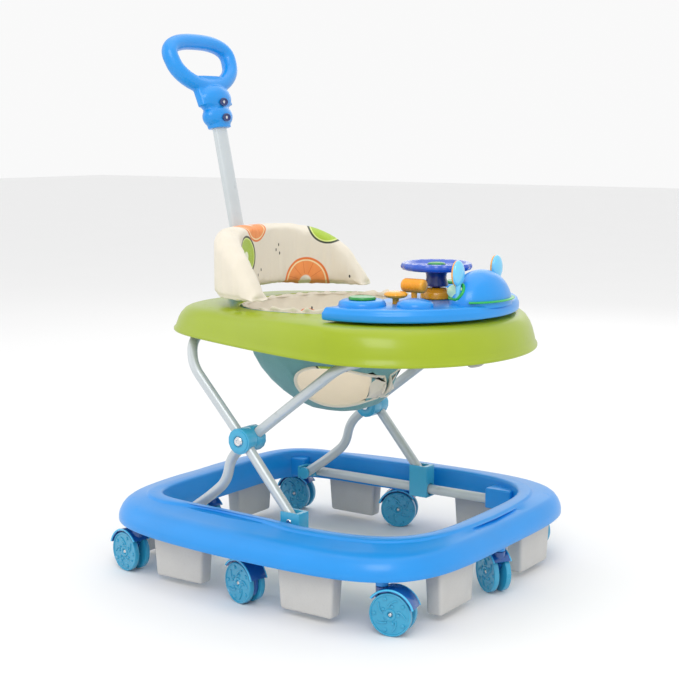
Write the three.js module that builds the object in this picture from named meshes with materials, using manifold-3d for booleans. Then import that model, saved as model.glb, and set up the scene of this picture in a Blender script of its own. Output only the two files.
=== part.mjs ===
// Folding baby walker: a wheeled base ring, an X-frame of two bent tubes, a tray ring with a fabric
// seat and a padded backrest, a lift-off play tray, and a push handle. Millimetres, +X forward, +Z up,
// with the origin on the floor below the middle of the object.
import * as THREE from "three";
import { mergeVertices } from "three/addons/utils/BufferGeometryUtils.js";
import Module from "manifold-3d";

const wasm = await Module();
wasm.setup();

// ---- Driving dimensions -------------------------------------------------------------------------
const GAP = 0.4; // clearance between pieces that touch
const WHEEL_R = 31;
const RAIL = { y: 182, z: 90, r: 8, from: -250, to: 196 };
const TUBE_R = 8;
const OUTER_LEG_Y = 182; // the front leg runs outside
const INNER_LEG_Y = 164; // the rear leg runs inside
const CROSS_Y = 173; // where the two tubes meet, between them
const REAR_FOOT = { x: -195, z: 90 };
const CROSS = { x: -64, z: 226 };
const FRONT_FOOT = { x: 30, z: 116 };
const TRAY_HINGE = { x: -184, z: 378 };
const FRONT_LEG_ELBOW = { x: -162, z: 332 };
const REAR_LEG_BEND = { x: -104, z: 190 };
const REAR_LEG_TOP = { x: 100, z: 351 };
const BASE = { lip: 78, crown: 121, inner: 73, wall: 3, around: 36 };
const TRAY = { crown: 420, wall: 3 };
const CASTERS = [
  // name, stem x, stem y, heading in degrees
  ["rear_right", -245, -226, -12],
  ["rear_left", -245, 226, 5],
  ["side_right", -30, -241, 165],
  ["side_left", -30, 241, 20],
  ["front_right", 224, -240, 191],
  ["front_left", 224, 240, -8],
  ["nose", 279, -2, -33],
  ["tail", -281, 0, -10],
];
const PADS = [
  // name, centre x, centre y, turn in degrees
  ["side_rear_right", -141, -236, 0],
  ["side_rear_left", -141, 236, 0],
  ["side_front_right", 110, -253, 0],
  ["side_front_left", 110, 253, 0],
  ["front_right", 264, -122, 90],
  ["front_left", 264, 122, 90],
  ["rear_right", -290, -118, 90],
  ["rear_left", -290, 118, 90],
];
const PAD = { length: 100, depth: 27, low: 10, high: 79.6, taper: 0.9 };
const HANDLE = { x: -215, foot: 386.5, bend: 516, top: 744, lean: 12, loopLean: 22.3 };
const RAD = THREE.MathUtils.degToRad;
const V3 = (x, y, z) => new THREE.Vector3(x, y, z);
const SIDES = { right: -1, left: 1 };

// ---- Materials ----------------------------------------------------------------------------------
const plastic = (color, roughness = 0.35) => new THREE.MeshStandardMaterial({ color, roughness });
const MATERIALS = {
  skyBlue: plastic(0x2d9fe0),
  cyan: plastic(0x3fb4d8),
  deepBlue: plastic(0x1c62b4),
  royalBlue: plastic(0x2a5fc8),
  lime: plastic(0xa9bf16),
  padGrey: plastic(0xc9c9c7, 0.6),
  yellow: plastic(0xf2b21c),
  green: plastic(0x149a3c),
  mirror: new THREE.MeshStandardMaterial({ color: 0x8fdcf4, roughness: 0.15, metalness: 0.3 }),
  paintedTube: new THREE.MeshStandardMaterial({ color: 0xb4bfc6, roughness: 0.35, metalness: 0.4 }),
  screw: new THREE.MeshStandardMaterial({ color: 0xd0d0d0, roughness: 0.25, metalness: 0.9 }),
  canvas: new THREE.MeshStandardMaterial({ color: 0xe6dfd0, roughness: 0.9 }),
};

// ---- Solids -------------------------------------------------------------------------------------
// A closed three.js geometry as a manifold-3d solid.
function solid(geometry) {
  const g = geometry.clone();
  g.deleteAttribute("normal");
  g.deleteAttribute("uv");
  const merged = mergeVertices(g, 1e-3);
  return new wasm.Manifold(
    new wasm.Mesh({
      numProp: 3,
      vertProperties: merged.attributes.position.array,
      triVerts: new Uint32Array(merged.index.array),
    }),
  );
}

function geometryOf(manifold) {
  const mesh = manifold.getMesh();
  const g = new THREE.BufferGeometry();
  g.setAttribute("position", new THREE.BufferAttribute(new Float32Array(mesh.vertProperties), 3));
  g.setIndex(new THREE.BufferAttribute(new Uint32Array(mesh.triVerts), 1));
  g.computeVertexNormals();
  return g;
}

// A geometry turned by Euler angles in degrees and then moved.
function placed(geometry, at, turn = [0, 0, 0]) {
  const g = geometry.clone();
  g.applyMatrix4(new THREE.Matrix4().makeRotationFromEuler(new THREE.Euler(...turn.map(RAD))));
  return g.translate(at.x, at.y, at.z);
}

const box = (x0, x1, y0, y1, z0, z1) =>
  solid(
    new THREE.BoxGeometry(x1 - x0, y1 - y0, z1 - z0).translate(
      (x0 + x1) / 2,
      (y0 + y1) / 2,
      (z0 + z1) / 2,
    ),
  );

// A round bar between two points.
function bar(from, to, r, sides = 16) {
  const g = new THREE.CylinderGeometry(r, r, from.distanceTo(to), sides);
  const along = to.clone().sub(from).normalize();
  g.applyQuaternion(new THREE.Quaternion().setFromUnitVectors(V3(0, 1, 0), along));
  const middle = from.clone().add(to).multiplyScalar(0.5);
  return solid(g.translate(middle.x, middle.y, middle.z));
}

// A turned solid about +Z: [radius, z] from the axis up to the axis, anticlockwise in the r-z plane.
function turned(profile, sides = 24) {
  const points = profile.map(([r, z]) => new THREE.Vector2(r, z));
  return new THREE.LatheGeometry(points, sides).rotateX(Math.PI / 2);
}

// A polyline with each corner rounded to a radius, as a curve for a bent tube.
function bentPath(points, radius) {
  const path = new THREE.CurvePath();
  let last = points[0];
  for (let i = 1; i < points.length - 1; i++) {
    const p = points[i];
    const before = last.clone().sub(p);
    const after = points[i + 1].clone().sub(p);
    const reach = Math.min(radius, before.length() * 0.48, after.length() * 0.48);
    const start = p.clone().addScaledVector(before.normalize(), reach);
    const end = p.clone().addScaledVector(after.normalize(), reach);
    path.add(new THREE.LineCurve3(last, start));
    path.add(new THREE.QuadraticBezierCurve3(start, p, end));
    last = end;
  }
  path.add(new THREE.LineCurve3(last, points[points.length - 1]));
  return path;
}

// A round tube along a bent path: sections only where the path bends.
function bentTube(points, radius, r = TUBE_R, sides = 8, perBend = 2) {
  const path = bentPath(points, radius);
  const stations = [];
  path.curves.forEach((curve, i) => {
    const steps = curve.isLineCurve3 ? 1 : perBend;
    for (let k = i ? 1 : 0; k <= steps; k++) {
      stations.push([curve.getPoint(k / steps), curve.getTangent(k / steps)]);
    }
  });
  return sweep(stations, circle(r, sides));
}

const circle = (r, sides) =>
  Array.from({ length: sides }, (_, k) => {
    const a = (k / sides) * 2 * Math.PI;
    return [r * Math.cos(a), r * Math.sin(a)];
  });

// A capped sweep of a section along stations of [point, tangent], without twist.
function sweep(stations, section) {
  const position = [];
  const index = [];
  const m = section.length;
  let side = V3(0, 1, 0);
  if (Math.abs(stations[0][1].y) > 0.9) side = V3(1, 0, 0);
  stations.forEach(([p, tangent]) => {
    const t = tangent.clone().normalize();
    side = side.clone().addScaledVector(t, -side.dot(t)).normalize();
    const up = t.clone().cross(side);
    section.forEach(([a, b]) => {
      const q = p.clone().addScaledVector(side, a).addScaledVector(up, b);
      position.push(q.x, q.y, q.z);
    });
  });
  for (let i = 0; i < stations.length - 1; i++) {
    for (let j = 0; j < m; j++) {
      const [a, b] = [i * m + j, i * m + ((j + 1) % m)];
      index.push(a, b, a + m, b, b + m, a + m);
    }
  }
  const end = (stations.length - 1) * m;
  for (let j = 1; j < m - 1; j++) {
    index.push(0, j + 1, j, end, end + j, end + j + 1);
  }
  return indexed(position, index);
}

function indexed(position, index) {
  const g = new THREE.BufferGeometry();
  g.setAttribute("position", new THREE.BufferAttribute(new Float32Array(position), 3));
  g.setIndex(index);
  return g;
}

// A closed ring: at each turn t, a closed section [share, drop, z] runs between an inner and an outer
// plan curve. share is 0 at the inner curve and 1 at the outer, and drop is millimetres towards outside.
function ring(inner, outer, section, around) {
  const position = [];
  const index = [];
  const m = section.length;
  for (let i = 0; i < around; i++) {
    const t = (i / around) * 2 * Math.PI;
    const [a, b] = [inner(t), outer(t)];
    const width = a.distanceTo(b);
    section.forEach(([share, drop, z]) => {
      const s = share + drop / width;
      const x = a.x + (b.x - a.x) * s;
      position.push(x, a.y + (b.y - a.y) * s, typeof z === "function" ? z(x) : z);
    });
  }
  for (let i = 0; i < around; i++) {
    const next = ((i + 1) % around) * m;
    for (let j = 0; j < m; j++) {
      const [a, b] = [i * m + j, i * m + ((j + 1) % m)];
      const [c, d] = [next + j, next + ((j + 1) % m)];
      index.push(a, c, b, b, c, d);
    }
  }
  return indexed(position, index);
}

// A bowl closed at its bottom: rows of [scale of the plan, z], outside up and inside down.
function bowl(plan, outside, inside, around) {
  const position = [];
  const index = [];
  const rows = [...outside, ...[...inside].reverse()];
  rows.forEach(([scale, z, shift]) => {
    for (let i = 0; i < around; i++) {
      const p = plan((i / around) * 2 * Math.PI);
      position.push(p.x * scale + shift, p.y * scale, z);
    }
  });
  for (let r = 0; r < rows.length - 1; r++) {
    for (let i = 0; i < around; i++) {
      const [a, b] = [r * around + i, r * around + ((i + 1) % around)];
      index.push(a, b, a + around, b, b + around, a + around);
    }
  }
  const last = (rows.length - 1) * around;
  for (let i = 1; i < around - 1; i++) {
    index.push(0, i + 1, i, last, last + i, last + i + 1);
  }
  return indexed(position, index);
}

const power = (value, n) => Math.sign(value) * Math.abs(value) ** (2 / n);
const blendTo = (x, from, to) => THREE.MathUtils.smoothstep(x, from, to);

// ---- Plan curves --------------------------------------------------------------------------------
function baseOuter(t) {
  const [c, s] = [Math.cos(t), Math.sin(t)];
  const n = c > 0 ? 4.3 : 3.7;
  const x = -10 + (c > 0 ? 307 : 322) * power(c, n);
  const half = 292 - 12 * (1 - blendTo(x, -230, 20));
  return new THREE.Vector2(x, half * power(s, n));
}

function baseInner(t) {
  const [c, s] = [Math.cos(t), Math.sin(t)];
  const n = c > 0 ? 4 : 7;
  const x = (c > 0 ? 246 : 252) * power(c, n);
  const half = 200 + 13 * blendTo(x, -60, 90);
  return new THREE.Vector2(x, half * power(s, n));
}

function trayOuter(t) {
  const [c, s] = [Math.cos(t), Math.sin(t)];
  if (c > 0) return new THREE.Vector2(120 + 178 * c, 228 * s);
  const x = 120 + 388 * power(c, 3.6);
  const half = 197 + 31 * blendTo(x, -160, 120);
  return new THREE.Vector2(x, half * power(s, 3.6));
}

const trayInner = (t) =>
  new THREE.Vector2(-32 + 127 * power(Math.cos(t), 2.3), 148 * power(Math.sin(t), 2.3));

const trayLip = (x) => 370 - 0.028 * x;

// ---- Base ring ----------------------------------------------------------------------------------
const SKIN = [
  [1, 0, BASE.lip],
  [1, 0, BASE.lip + 8],
  [1, -5, BASE.lip + 20],
  [1, -18, BASE.lip + 33],
  [0, 24, BASE.crown],
  [0, 5, BASE.crown],
  [0, 0, BASE.crown - 4],
  [0, 0, BASE.inner],
];
const LINING = [
  [0, BASE.wall, BASE.inner],
  [0, BASE.wall, BASE.crown - 6],
  [0, 8, BASE.crown - 3],
  [1, -19, BASE.lip + 29],
  [1, -8, BASE.lip + 18],
  [1, -BASE.wall, BASE.lip + 7],
  [1, -BASE.wall, BASE.lip],
];

function baseShell() {
  const full = solid(ring(baseInner, baseOuter, SKIN, BASE.around));
  let ribs = box(0, 1, 0, 1, 0, 1).subtract(box(-1, 2, -1, 2, -1, 2));
  for (const [, x, y] of CASTERS) ribs = ribs.add(bar(V3(x, y, 79), V3(x, y, 125), 9, 8));
  let shell = solid(ring(baseInner, baseOuter, [...SKIN, ...LINING], BASE.around)).add(ribs.intersect(full));
  for (const [, x, y] of CASTERS) {
    shell = shell.add(bar(V3(x, y, 68), V3(x, y, 84), 9, 8));
    shell = shell.subtract(bar(V3(x, y, 60), V3(x, y, 92), 5.4, 8));
  }
  for (const side of Object.values(SIDES)) {
    // Blocks on the inner wall hold the two ends of each rail.
    const [from, to] = ordered((RAIL.y - 11) * side, (RAIL.y + 32) * side);
    shell = shell.add(box(158, 205, from, to, 76, 110)).add(box(-256, -209, from, to, 76, 110));
    const y = RAIL.y * side;
    const clear = RAIL.r + GAP;
    shell = shell.subtract(bar(V3(RAIL.from - GAP, y, RAIL.z), V3(RAIL.to + GAP, y, RAIL.z), clear, 14));
  }
  return shell;
}

function brakePad(x, y, turn) {
  const g = new THREE.BoxGeometry(PAD.length, PAD.depth, PAD.high - PAD.low);
  const position = g.attributes.position;
  for (let i = 0; i < position.count; i++) {
    if (position.getZ(i) < 0) {
      position.setXY(i, position.getX(i) * PAD.taper, position.getY(i) * PAD.taper);
    }
  }
  return placed(g, V3(x, y, (PAD.low + PAD.high) / 2), [0, 0, turn]);
}

// ---- Casters ------------------------------------------------------------------------------------
// A caster stands at the origin of its own frame, with its axle behind the stem.
const CASTER = { trail: 17, stemTop: 91, plate: 9, gap: 11.2, width: 30 };

function casterFork() {
  const { trail, stemTop, plate, width } = CASTER;
  const web = new THREE.Shape();
  web.absarc(-trail, 0, 27, RAD(40), RAD(215), false);
  web.absarc(-trail, 0, 9, RAD(215), RAD(330), false);
  web.closePath();
  const hood = new THREE.Shape();
  hood.absarc(-trail, 0, 36.5, RAD(38), RAD(162), false);
  hood.absarc(-trail, 0, 25, RAD(162), RAD(38), true);
  hood.closePath();
  const slab = (shape, thick, curveSegments) =>
    solid(
      placed(
        new THREE.ExtrudeGeometry(shape, { depth: thick, bevelEnabled: false, curveSegments }),
        V3(0, thick / 2, WHEEL_R),
        [90, 0, 0],
      ),
    );
  const inside = (side) =>
    bar(
      V3(-trail, (plate / 2) * side, WHEEL_R),
      V3(-trail, (width / 2 + 2) * side, WHEEL_R),
      WHEEL_R + 2.6,
      12,
    );
  return slab(web, plate, 4)
    .add(slab(hood, width, 5))
    .add(bar(V3(0, 0, 52), V3(0, 0, 66.5), 9, 10))
    .add(bar(V3(0, 0, 60), V3(0, 0, stemTop), 4.6, 8))
    .subtract(inside(1))
    .subtract(inside(-1))
    .subtract(bar(V3(-trail, -8, WHEEL_R), V3(-trail, 8, WHEEL_R), 5, 10));
}

function twinWheel() {
  const { gap, trail, width } = CASTER;
  const half = [
    [WHEEL_R, gap / 2 + 0.4],
    [WHEEL_R, width / 2],
    [0, width / 2],
  ];
  const mirrored = half.map(([r, z]) => [r, -z]).reverse();
  const hub = [
    [4, -gap / 2],
    [4, gap / 2],
  ];
  return placed(turned([...mirrored, ...hub, ...half], 14), V3(-trail, 0, WHEEL_R), [90, 0, 0]);
}

// ---- Legs and feet ------------------------------------------------------------------------------
const point = ({ x, z }, y) => V3(x, y, z);
const ordered = (a, b) => (a < b ? [a, b] : [b, a]);

// The whole path of a U-shaped tube from its left half.
function mirroredPath(half) {
  const other = half.map((p) => V3(p.x, -p.y, p.z)).reverse();
  return [...half, ...other];
}

const crossPin = (side, reach, r) =>
  bar(V3(CROSS.x, CROSS_Y * side - reach, CROSS.z), V3(CROSS.x, CROSS_Y * side + reach, CROSS.z), r, 12);

function leg(half) {
  const tube = solid(bentTube(mirroredPath(half), 26));
  return tube.subtract(crossPin(1, 40, 4.4)).subtract(crossPin(-1, 40, 4.4));
}

const rearLeg = () =>
  leg([
    point(REAR_FOOT, INNER_LEG_Y),
    V3(-148, INNER_LEG_Y, 122),
    V3(-112, INNER_LEG_Y, 152),
    point(REAR_LEG_BEND, INNER_LEG_Y),
    point(CROSS, INNER_LEG_Y),
    point(REAR_LEG_TOP, INNER_LEG_Y),
  ]);

const frontLeg = () =>
  leg([
    point(FRONT_FOOT, OUTER_LEG_Y),
    point(CROSS, OUTER_LEG_Y),
    point(FRONT_LEG_ELBOW, OUTER_LEG_Y),
    V3(TRAY_HINGE.x + 2, 160, 360),
    point(TRAY_HINGE, 140),
  ]);

// A clamp round the rear end of the rail, with a slot for the foot of the rear leg.
function rearFootClamp(side) {
  const outer = RAIL.y * side;
  const inner = INNER_LEG_Y * side;
  const [from, to] = ordered(inner - 12.4 * side, outer - 5 * side);
  const at = (y) => point(REAR_FOOT, y);
  const [low, high] = ordered(inner - 8.6 * side, inner + 8.6 * side);
  const slot = bar(at(low), at(high), 12, 14).add(box(-196, -170, low, high, 60, 130));
  return bar(V3(-203.4, outer, RAIL.z), V3(-184, outer, RAIL.z), 10.4, 14)
    .add(bar(at(from), at(to), 10.5, 14))
    .add(box(-207.5, -203, from, to, 80, 101))
    .subtract(slot)
    .subtract(bar(V3(-230, outer, RAIL.z), V3(-150, outer, RAIL.z), RAIL.r + GAP, 14));
}

// The sliding shoe on the rail, open above for the foot of the front leg.
function sliderBracket(side) {
  const y = RAIL.y * side;
  const body = box(FRONT_FOOT.x - 16, FRONT_FOOT.x + 18, y - 12.5, y + 12.5, 77, 130);
  const slot = box(FRONT_FOOT.x - 20, FRONT_FOOT.x + 11, y - 8.6, y + 8.6, 101.5, 140);
  const bore = bar(V3(-60, y, RAIL.z), V3(120, y, RAIL.z), RAIL.r + 1.9, 14);
  return body.subtract(slot).subtract(bore);
}

// The bore that a bent leg takes through the cover at the crossing.
function crossBore(below, above, y) {
  const centre = point(CROSS, y);
  const down = point(below, y).sub(centre).setLength(44).add(centre);
  const up = point(above, y).sub(centre).setLength(60).add(centre);
  return solid(bentTube([up, centre, down], 26, TUBE_R + 0.7, 10, 3));
}

// One half of the round cover over the crossing of the two tubes.
function crossCover(side, part) {
  const out = part === "outer" ? side : -side;
  const at = (d) => V3(CROSS.x, CROSS_Y * side + d * out, CROSS.z);
  const bore =
    part === "outer"
      ? crossBore(FRONT_FOOT, FRONT_LEG_ELBOW, OUTER_LEG_Y * side)
      : crossBore(REAR_LEG_BEND, REAR_LEG_TOP, INNER_LEG_Y * side);
  return bar(at(0.4), at(21), 20, 14)
    .subtract(bore)
    .subtract(crossPin(side, 40, 4.4));
}

// The pivot screw at a crossing, with a head outside and a nut inside.
function pivotScrew(side) {
  const at = (d) => V3(CROSS.x, (CROSS_Y + d) * side, CROSS.z);
  return crossPin(side, 22, 4)
    .add(bar(at(21.4), at(24), 7.5, 14))
    .add(bar(at(-24.5), at(-21.4), 6.5, 6));
}

// ---- Tray ring, seat and backrest ---------------------------------------------------------------
function trayShell() {
  const top = TRAY.crown;
  const { wall } = TRAY;
  const section = [
    [1, 3, (x) => trayLip(x)],
    [1, 3, (x) => trayLip(x) + 4],
    [1, 0, (x) => trayLip(x) + 6],
    [1, -5, (x) => trayLip(x) + 24],
    [1, -16, top - 10],
    [1, -32, top - 3],
    [0, 20, top],
    [0, 3, top],
    [0, 0, top - 3],
    [0, 0, top - 36],
    [0, wall, top - 36],
    [0, wall, top - 5],
    [0, 20, top - wall],
    [1, -33, top - 6],
    [1, -18, top - 13],
    [1, -8, (x) => trayLip(x) + 22],
    [1, -wall, (x) => trayLip(x) + 5],
    [1, -wall, (x) => trayLip(x)],
  ];
  const shell = solid(ring(trayInner, trayOuter, section, 36));
  return shell.subtract(handlePost(HANDLE_SOCKET + GAP, 350, 500));
}

// Saddles under the tray in which the front leg's cross bar turns.
function trayHinge(side) {
  const { x, z } = TRAY_HINGE;
  const y = 92 * side;
  const block = box(x - 14, x + 14, y - 12, y + 12, z - 13, 414);
  return block.subtract(bar(V3(x, y - 30, z), V3(x, y + 30, z), TUBE_R + GAP, 14));
}

// The rack under which the rear leg's cross bar stands and slides.
function heightRack() {
  const [x, z] = [REAR_LEG_TOP.x, REAR_LEG_TOP.z];
  const shape = new THREE.Shape();
  shape.moveTo(x - 1, z + 9.5);
  shape.lineTo(x + 60, z + 13);
  shape.lineTo(x + 118, z + 22);
  shape.lineTo(x + 118, z + 34);
  shape.lineTo(x + 22, z + 58);
  shape.lineTo(x - 1, z + 63);
  shape.closePath();
  const plate = new THREE.ExtrudeGeometry(shape, { depth: 60, bevelEnabled: false });
  return placed(plate, V3(0, 30, 0), [90, 0, 0]);
}

const seatPlan = (t) => new THREE.Vector2(power(Math.cos(t), 2.3), 1.175 * power(Math.sin(t), 2.3));

function seatTub() {
  const outside = [
    [22, 254, 0],
    [52, 262, -4],
    [82, 288, -14],
    [104, 324, -24],
    [116, 366, -30],
    [123, 400, -32],
    [124, 426, -32],
  ];
  const inside = [
    [16, 260, 0],
    [46, 268, -4],
    [76, 292, -14],
    [98, 326, -24],
    [110, 367, -30],
    [117, 400, -32],
    [118, 426, -32],
  ];
  let tub = solid(bowl(seatPlan, outside, inside, 20));
  for (const side of Object.values(SIDES)) {
    const hole = new THREE.CylinderGeometry(1, 1, 160, 12).scale(48, 1, 34);
    tub = tub.subtract(solid(placed(hole, V3(30, 92 * side, 304), [0, 0, -12 * side])));
  }
  return tub;
}

// The padded backrest: a band round the rear half of the seat, high behind and low at its ends.
const BACK = { x: -55, long: 148, wide: 160, thick: 36, low: 430, low_end: 448, high: 545 };

function backrest() {
  const position = [];
  const index = [];
  const steps = 16;
  const m = 8;
  for (let i = 0; i <= steps; i++) {
    const u = i / steps;
    const a = Math.PI * u;
    const rise = Math.max(0, 1 - Math.abs(2 * u - 1) ** 3) ** 0.6;
    const high = BACK.low_end + (BACK.high - BACK.low_end) * rise;
    const section = [
      [3, BACK.low + 3],
      [0, BACK.low + 10],
      [0, high - 14],
      [10, high],
      [BACK.thick - 10, high],
      [BACK.thick, high - 14],
      [BACK.thick, BACK.low + 10],
      [BACK.thick - 3, BACK.low + 3],
    ];
    section.forEach(([inset, z]) => {
      const x = BACK.x - (BACK.long - inset) * power(Math.sin(a), 2.5);
      position.push(x, -(BACK.wide - inset) * power(Math.cos(a), 2.5), z);
    });
  }
  for (let i = 0; i < steps; i++) {
    for (let j = 0; j < m; j++) {
      const [a, b] = [i * m + j, i * m + ((j + 1) % m)];
      index.push(a, b, a + m, b, b + m, a + m);
    }
  }
  const end = steps * m;
  for (let j = 1; j < m - 1; j++) index.push(0, j + 1, j, end, end + j, end + j + 1);
  return indexed(position, index);
}

// ---- Push handle --------------------------------------------------------------------------------
const HANDLE_SOCKET = 3.4; // wall of the socket round the tube
const TUBE_SECTION = { across: 15, along: 7.5 }; // half sizes of the flat oval

// The flat oval section of the push tube, grown by a margin.
function oval(grow, perEnd = 4) {
  const { across, along } = TUBE_SECTION;
  const points = [];
  for (let end = 0; end < 2; end++) {
    for (let k = 0; k <= perEnd; k++) {
      const a = Math.PI * (end + k / perEnd) - Math.PI / 2;
      const centre = end ? along - across : across - along;
      points.push([centre + (along + grow) * Math.cos(a), (along + grow) * Math.sin(a)]);
    }
  }
  return points;
}

// An upright length of that section, where the tube stands in its socket.
function handlePost(grow, low, high) {
  const up = V3(0, 0, 1);
  return solid(sweep([[V3(HANDLE.x, 0, low), up], [V3(HANDLE.x, 0, high), up]], oval(grow)));
}

// A point on the leaning part of the tube, at a height.
function handleAt(z) {
  return V3(HANDLE.x - Math.tan(RAD(HANDLE.lean)) * (z - HANDLE.bend), 0, z);
}

const handleLean = V3(-Math.sin(RAD(HANDLE.lean)), 0, Math.cos(RAD(HANDLE.lean)));

function leaningPost(grow, low, high) {
  return solid(sweep([[handleAt(low), handleLean], [handleAt(high), handleLean]], oval(grow)));
}

function pushTube() {
  const path = bentPath([V3(HANDLE.x, 0, HANDLE.foot), handleAt(HANDLE.bend), handleAt(734)], 22);
  const stations = [];
  path.curves.forEach((curve, i) => {
    const steps = curve.isLineCurve3 ? 1 : 4;
    for (let k = i ? 1 : 0; k <= steps; k++) {
      stations.push([curve.getPoint(k / steps), curve.getTangent(k / steps)]);
    }
  });
  return sweep(stations, oval(0));
}

const BUTTON = { z: 437, r: 7, out: 17 };

function handleSocket() {
  const at = (d) => V3(HANDLE.x - d, 0, BUTTON.z);
  return handlePost(HANDLE_SOCKET, HANDLE.foot - 2.5, 449)
    .add(handlePost(HANDLE_SOCKET + 4, 420.6, 425))
    .add(bar(at(8.5), at(BUTTON.out), BUTTON.r + 3, 14))
    .subtract(bar(at(11.5), at(BUTTON.out + 1), BUTTON.r + 0.6, 14))
    .subtract(handlePost(GAP, HANDLE.foot - 0.4, 500));
}

// The grip: a two-lobed block on the tube, and a round-barred loop that leans back further.
function handleGrip() {
  const lobe = (z, across, up) => {
    const g = new THREE.SphereGeometry(1, 10, 6).scale(16, across, up).rotateY(-RAD(HANDLE.lean));
    const p = handleAt(z);
    return solid(g.translate(p.x, p.y, p.z));
  };
  const lean = RAD(HANDLE.loopLean);
  const foot = handleAt(730);
  const at = (across, up) => V3(foot.x - Math.sin(lean) * up, across, foot.z + Math.cos(lean) * up);
  const around = 16;
  const loop = Array.from({ length: around }, (_, i) => {
    const a = (i / around) * 2 * Math.PI - Math.PI / 2;
    const narrow = Math.sin(a) < 0 ? 1 + 0.16 * Math.sin(a) : 1;
    return at(73 * narrow * power(Math.cos(a), 2.3), 79 + 34.5 * power(Math.sin(a), 2.3));
  });
  const station = (i) => {
    const [p, q, r] = [-1, 0, 1].map((d) => loop[(i + d + around) % around]);
    return [q, r.clone().sub(p)];
  };
  const arc = (from, to) =>
    solid(sweep(Array.from({ length: to - from + 1 }, (_, k) => station(from + k)), circle(13, 7)));
  const neck = box(-9, 9, -36, 36, 4, 46);
  const seated = neck.rotate([0, -HANDLE.loopLean, 0]).translate([foot.x, 0, foot.z]);
  return leaningPost(8, 692, 742)
    .add(lobe(708, 27, 18))
    .add(lobe(730, 33, 20))
    .add(arc(0, 9))
    .add(arc(8, 17))
    .add(seated)
    .subtract(leaningPost(GAP, 650, 734.6));
}

const releaseButton = () =>
  bar(V3(HANDLE.x - 14, 0, BUTTON.z), V3(HANDLE.x - BUTTON.out - 3, 0, BUTTON.z), BUTTON.r, 14);

// ---- Play tray and toys -------------------------------------------------------------------------
const DECK = { low: 421, high: 440 };
const COLUMN_X = 164;
const BIG_MOUND = { x: 122, y: 138 };
const SMALL_MOUND = { x: 193, y: 108 };
const MIRROR = { x: 235, y: 58, z: 486 };
const HOOD = { x: 240, long: 40, wide: 64, tall: 52 };

function playOutline() {
  const points = [];
  for (let i = 0; i <= 18; i++) {
    const t = RAD(-95 + (190 * i) / 18);
    points.push(new THREE.Vector2(104 + 174 * Math.cos(t), 190 * Math.sin(t)));
  }
  for (let i = 0; i <= 10; i++) {
    const y = 150 - 30 * i;
    points.push(new THREE.Vector2(101 - 15 * Math.abs(y / 150) ** 3, y));
  }
  return new THREE.Shape(points);
}

function playTray() {
  const deck = new THREE.ExtrudeGeometry(playOutline(), {
    depth: DECK.high - DECK.low - 6,
    bevelThickness: 3,
    bevelSize: 3,
    bevelOffset: -3,
    bevelSegments: 1,
    curveSegments: 1,
  });
  let tray = solid(deck.translate(0, 0, DECK.low + 3));
  const z = DECK.high - 4;
  const dome = solid(turned(quarter(5), 16)).scale([HOOD.long, HOOD.wide, HOOD.tall]);
  tray = tray.add(dome.translate([HOOD.x, 0, z]));
  for (const side of Object.values(SIDES)) {
    const [big, small] = [BIG_MOUND, SMALL_MOUND].map(({ x, y }) => V3(x, y * side, z));
    tray = tray.add(mound(big, 35, 13)).add(mound(small, 27, 13));
    tray = tray.subtract(bar(big.clone().setZ(445), big.clone().setZ(470), 20.8, 16));
    tray = tray.subtract(bar(big.clone().setZ(427), big.clone().setZ(449), 7.2, 10));
    tray = tray.subtract(bar(V3(MIRROR.x, MIRROR.y * side, 443), V3(MIRROR.x, MIRROR.y * side, 500), 5.6, 10));
  }
  return tray
    .subtract(bar(V3(COLUMN_X, 0, 427), V3(COLUMN_X, 0, 460), 6, 12))
    .subtract(bar(V3(LEVER.x, LEVER.y, 427), V3(LEVER.x, LEVER.y, 460), 5.6, 10))
    .subtract(bar(V3(KNOB.x, KNOB.y, 427), V3(KNOB.x, KNOB.y, 460), 5.6, 10));
}

// A quarter circle from the axis at the bottom round to the axis at the top, for a unit dome.
function quarter(steps) {
  const points = [[0, 0]];
  for (let i = steps; i > 0; i--) {
    const a = (i / steps) * (Math.PI / 2);
    points.push([Math.sin(a), Math.cos(a)]);
  }
  return [...points, [0, 1]];
}

// A low round mound on the deck.
function mound(at, r, height) {
  const profile = [
    [0, 0],
    [r, 0],
    [r, height * 0.45],
    [r - 4, height],
    [0, height + 3],
  ];
  return solid(turned(profile, 16).translate(at.x, at.y, at.z));
}

function roundButton(side) {
  const profile = [
    [0, 432],
    [6.4, 432],
    [6.4, 449],
    [20, 449],
    [20, 452],
    [14, 454],
    [0, 454.6],
  ];
  return placed(turned(profile, 16), V3(BIG_MOUND.x, BIG_MOUND.y * side, 0));
}

function steeringBase() {
  const profile = [
    [7, 440.4],
    [24, 440.4],
    [24, 449],
    [19, 455],
    [7, 457],
  ];
  return placed(turned([...profile, profile[0]], 16), V3(COLUMN_X, 0, 0));
}

function steeringWheel() {
  const profile = [
    [0, -28],
    [5.2, -28],
    [5.2, 0],
    [18, 0],
    [15, 14],
    [20, 24],
    [42, 26],
    [50, 24],
    [54, 30],
    [50, 36],
    [42, 33],
    [14, 33],
    [14, 27.5],
    [0, 27.5],
  ];
  return placed(turned(profile, 20), V3(COLUMN_X, 0, 459));
}

function wheelBadge() {
  const profile = [
    [0, 489],
    [13.4, 489],
    [13.4, 493],
    [9, 495],
    [0, 495.6],
  ];
  return placed(turned(profile, 14), V3(COLUMN_X, 0, 0));
}

// A lever with a fat drum for a head, on a round stalk.
const LEVER = { x: 160, y: -57 };
function drumLever() {
  const drum = [
    [0, -19],
    [8, -19],
    [10.5, -16],
    [10.5, 16],
    [8, 19],
    [0, 19],
  ];
  const head = solid(placed(turned(drum, 16), V3(LEVER.x, LEVER.y, 464), [0, 90, 0]));
  return head.add(bar(V3(LEVER.x, LEVER.y, 429), V3(LEVER.x, LEVER.y, 460), 5, 10));
}

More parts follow.
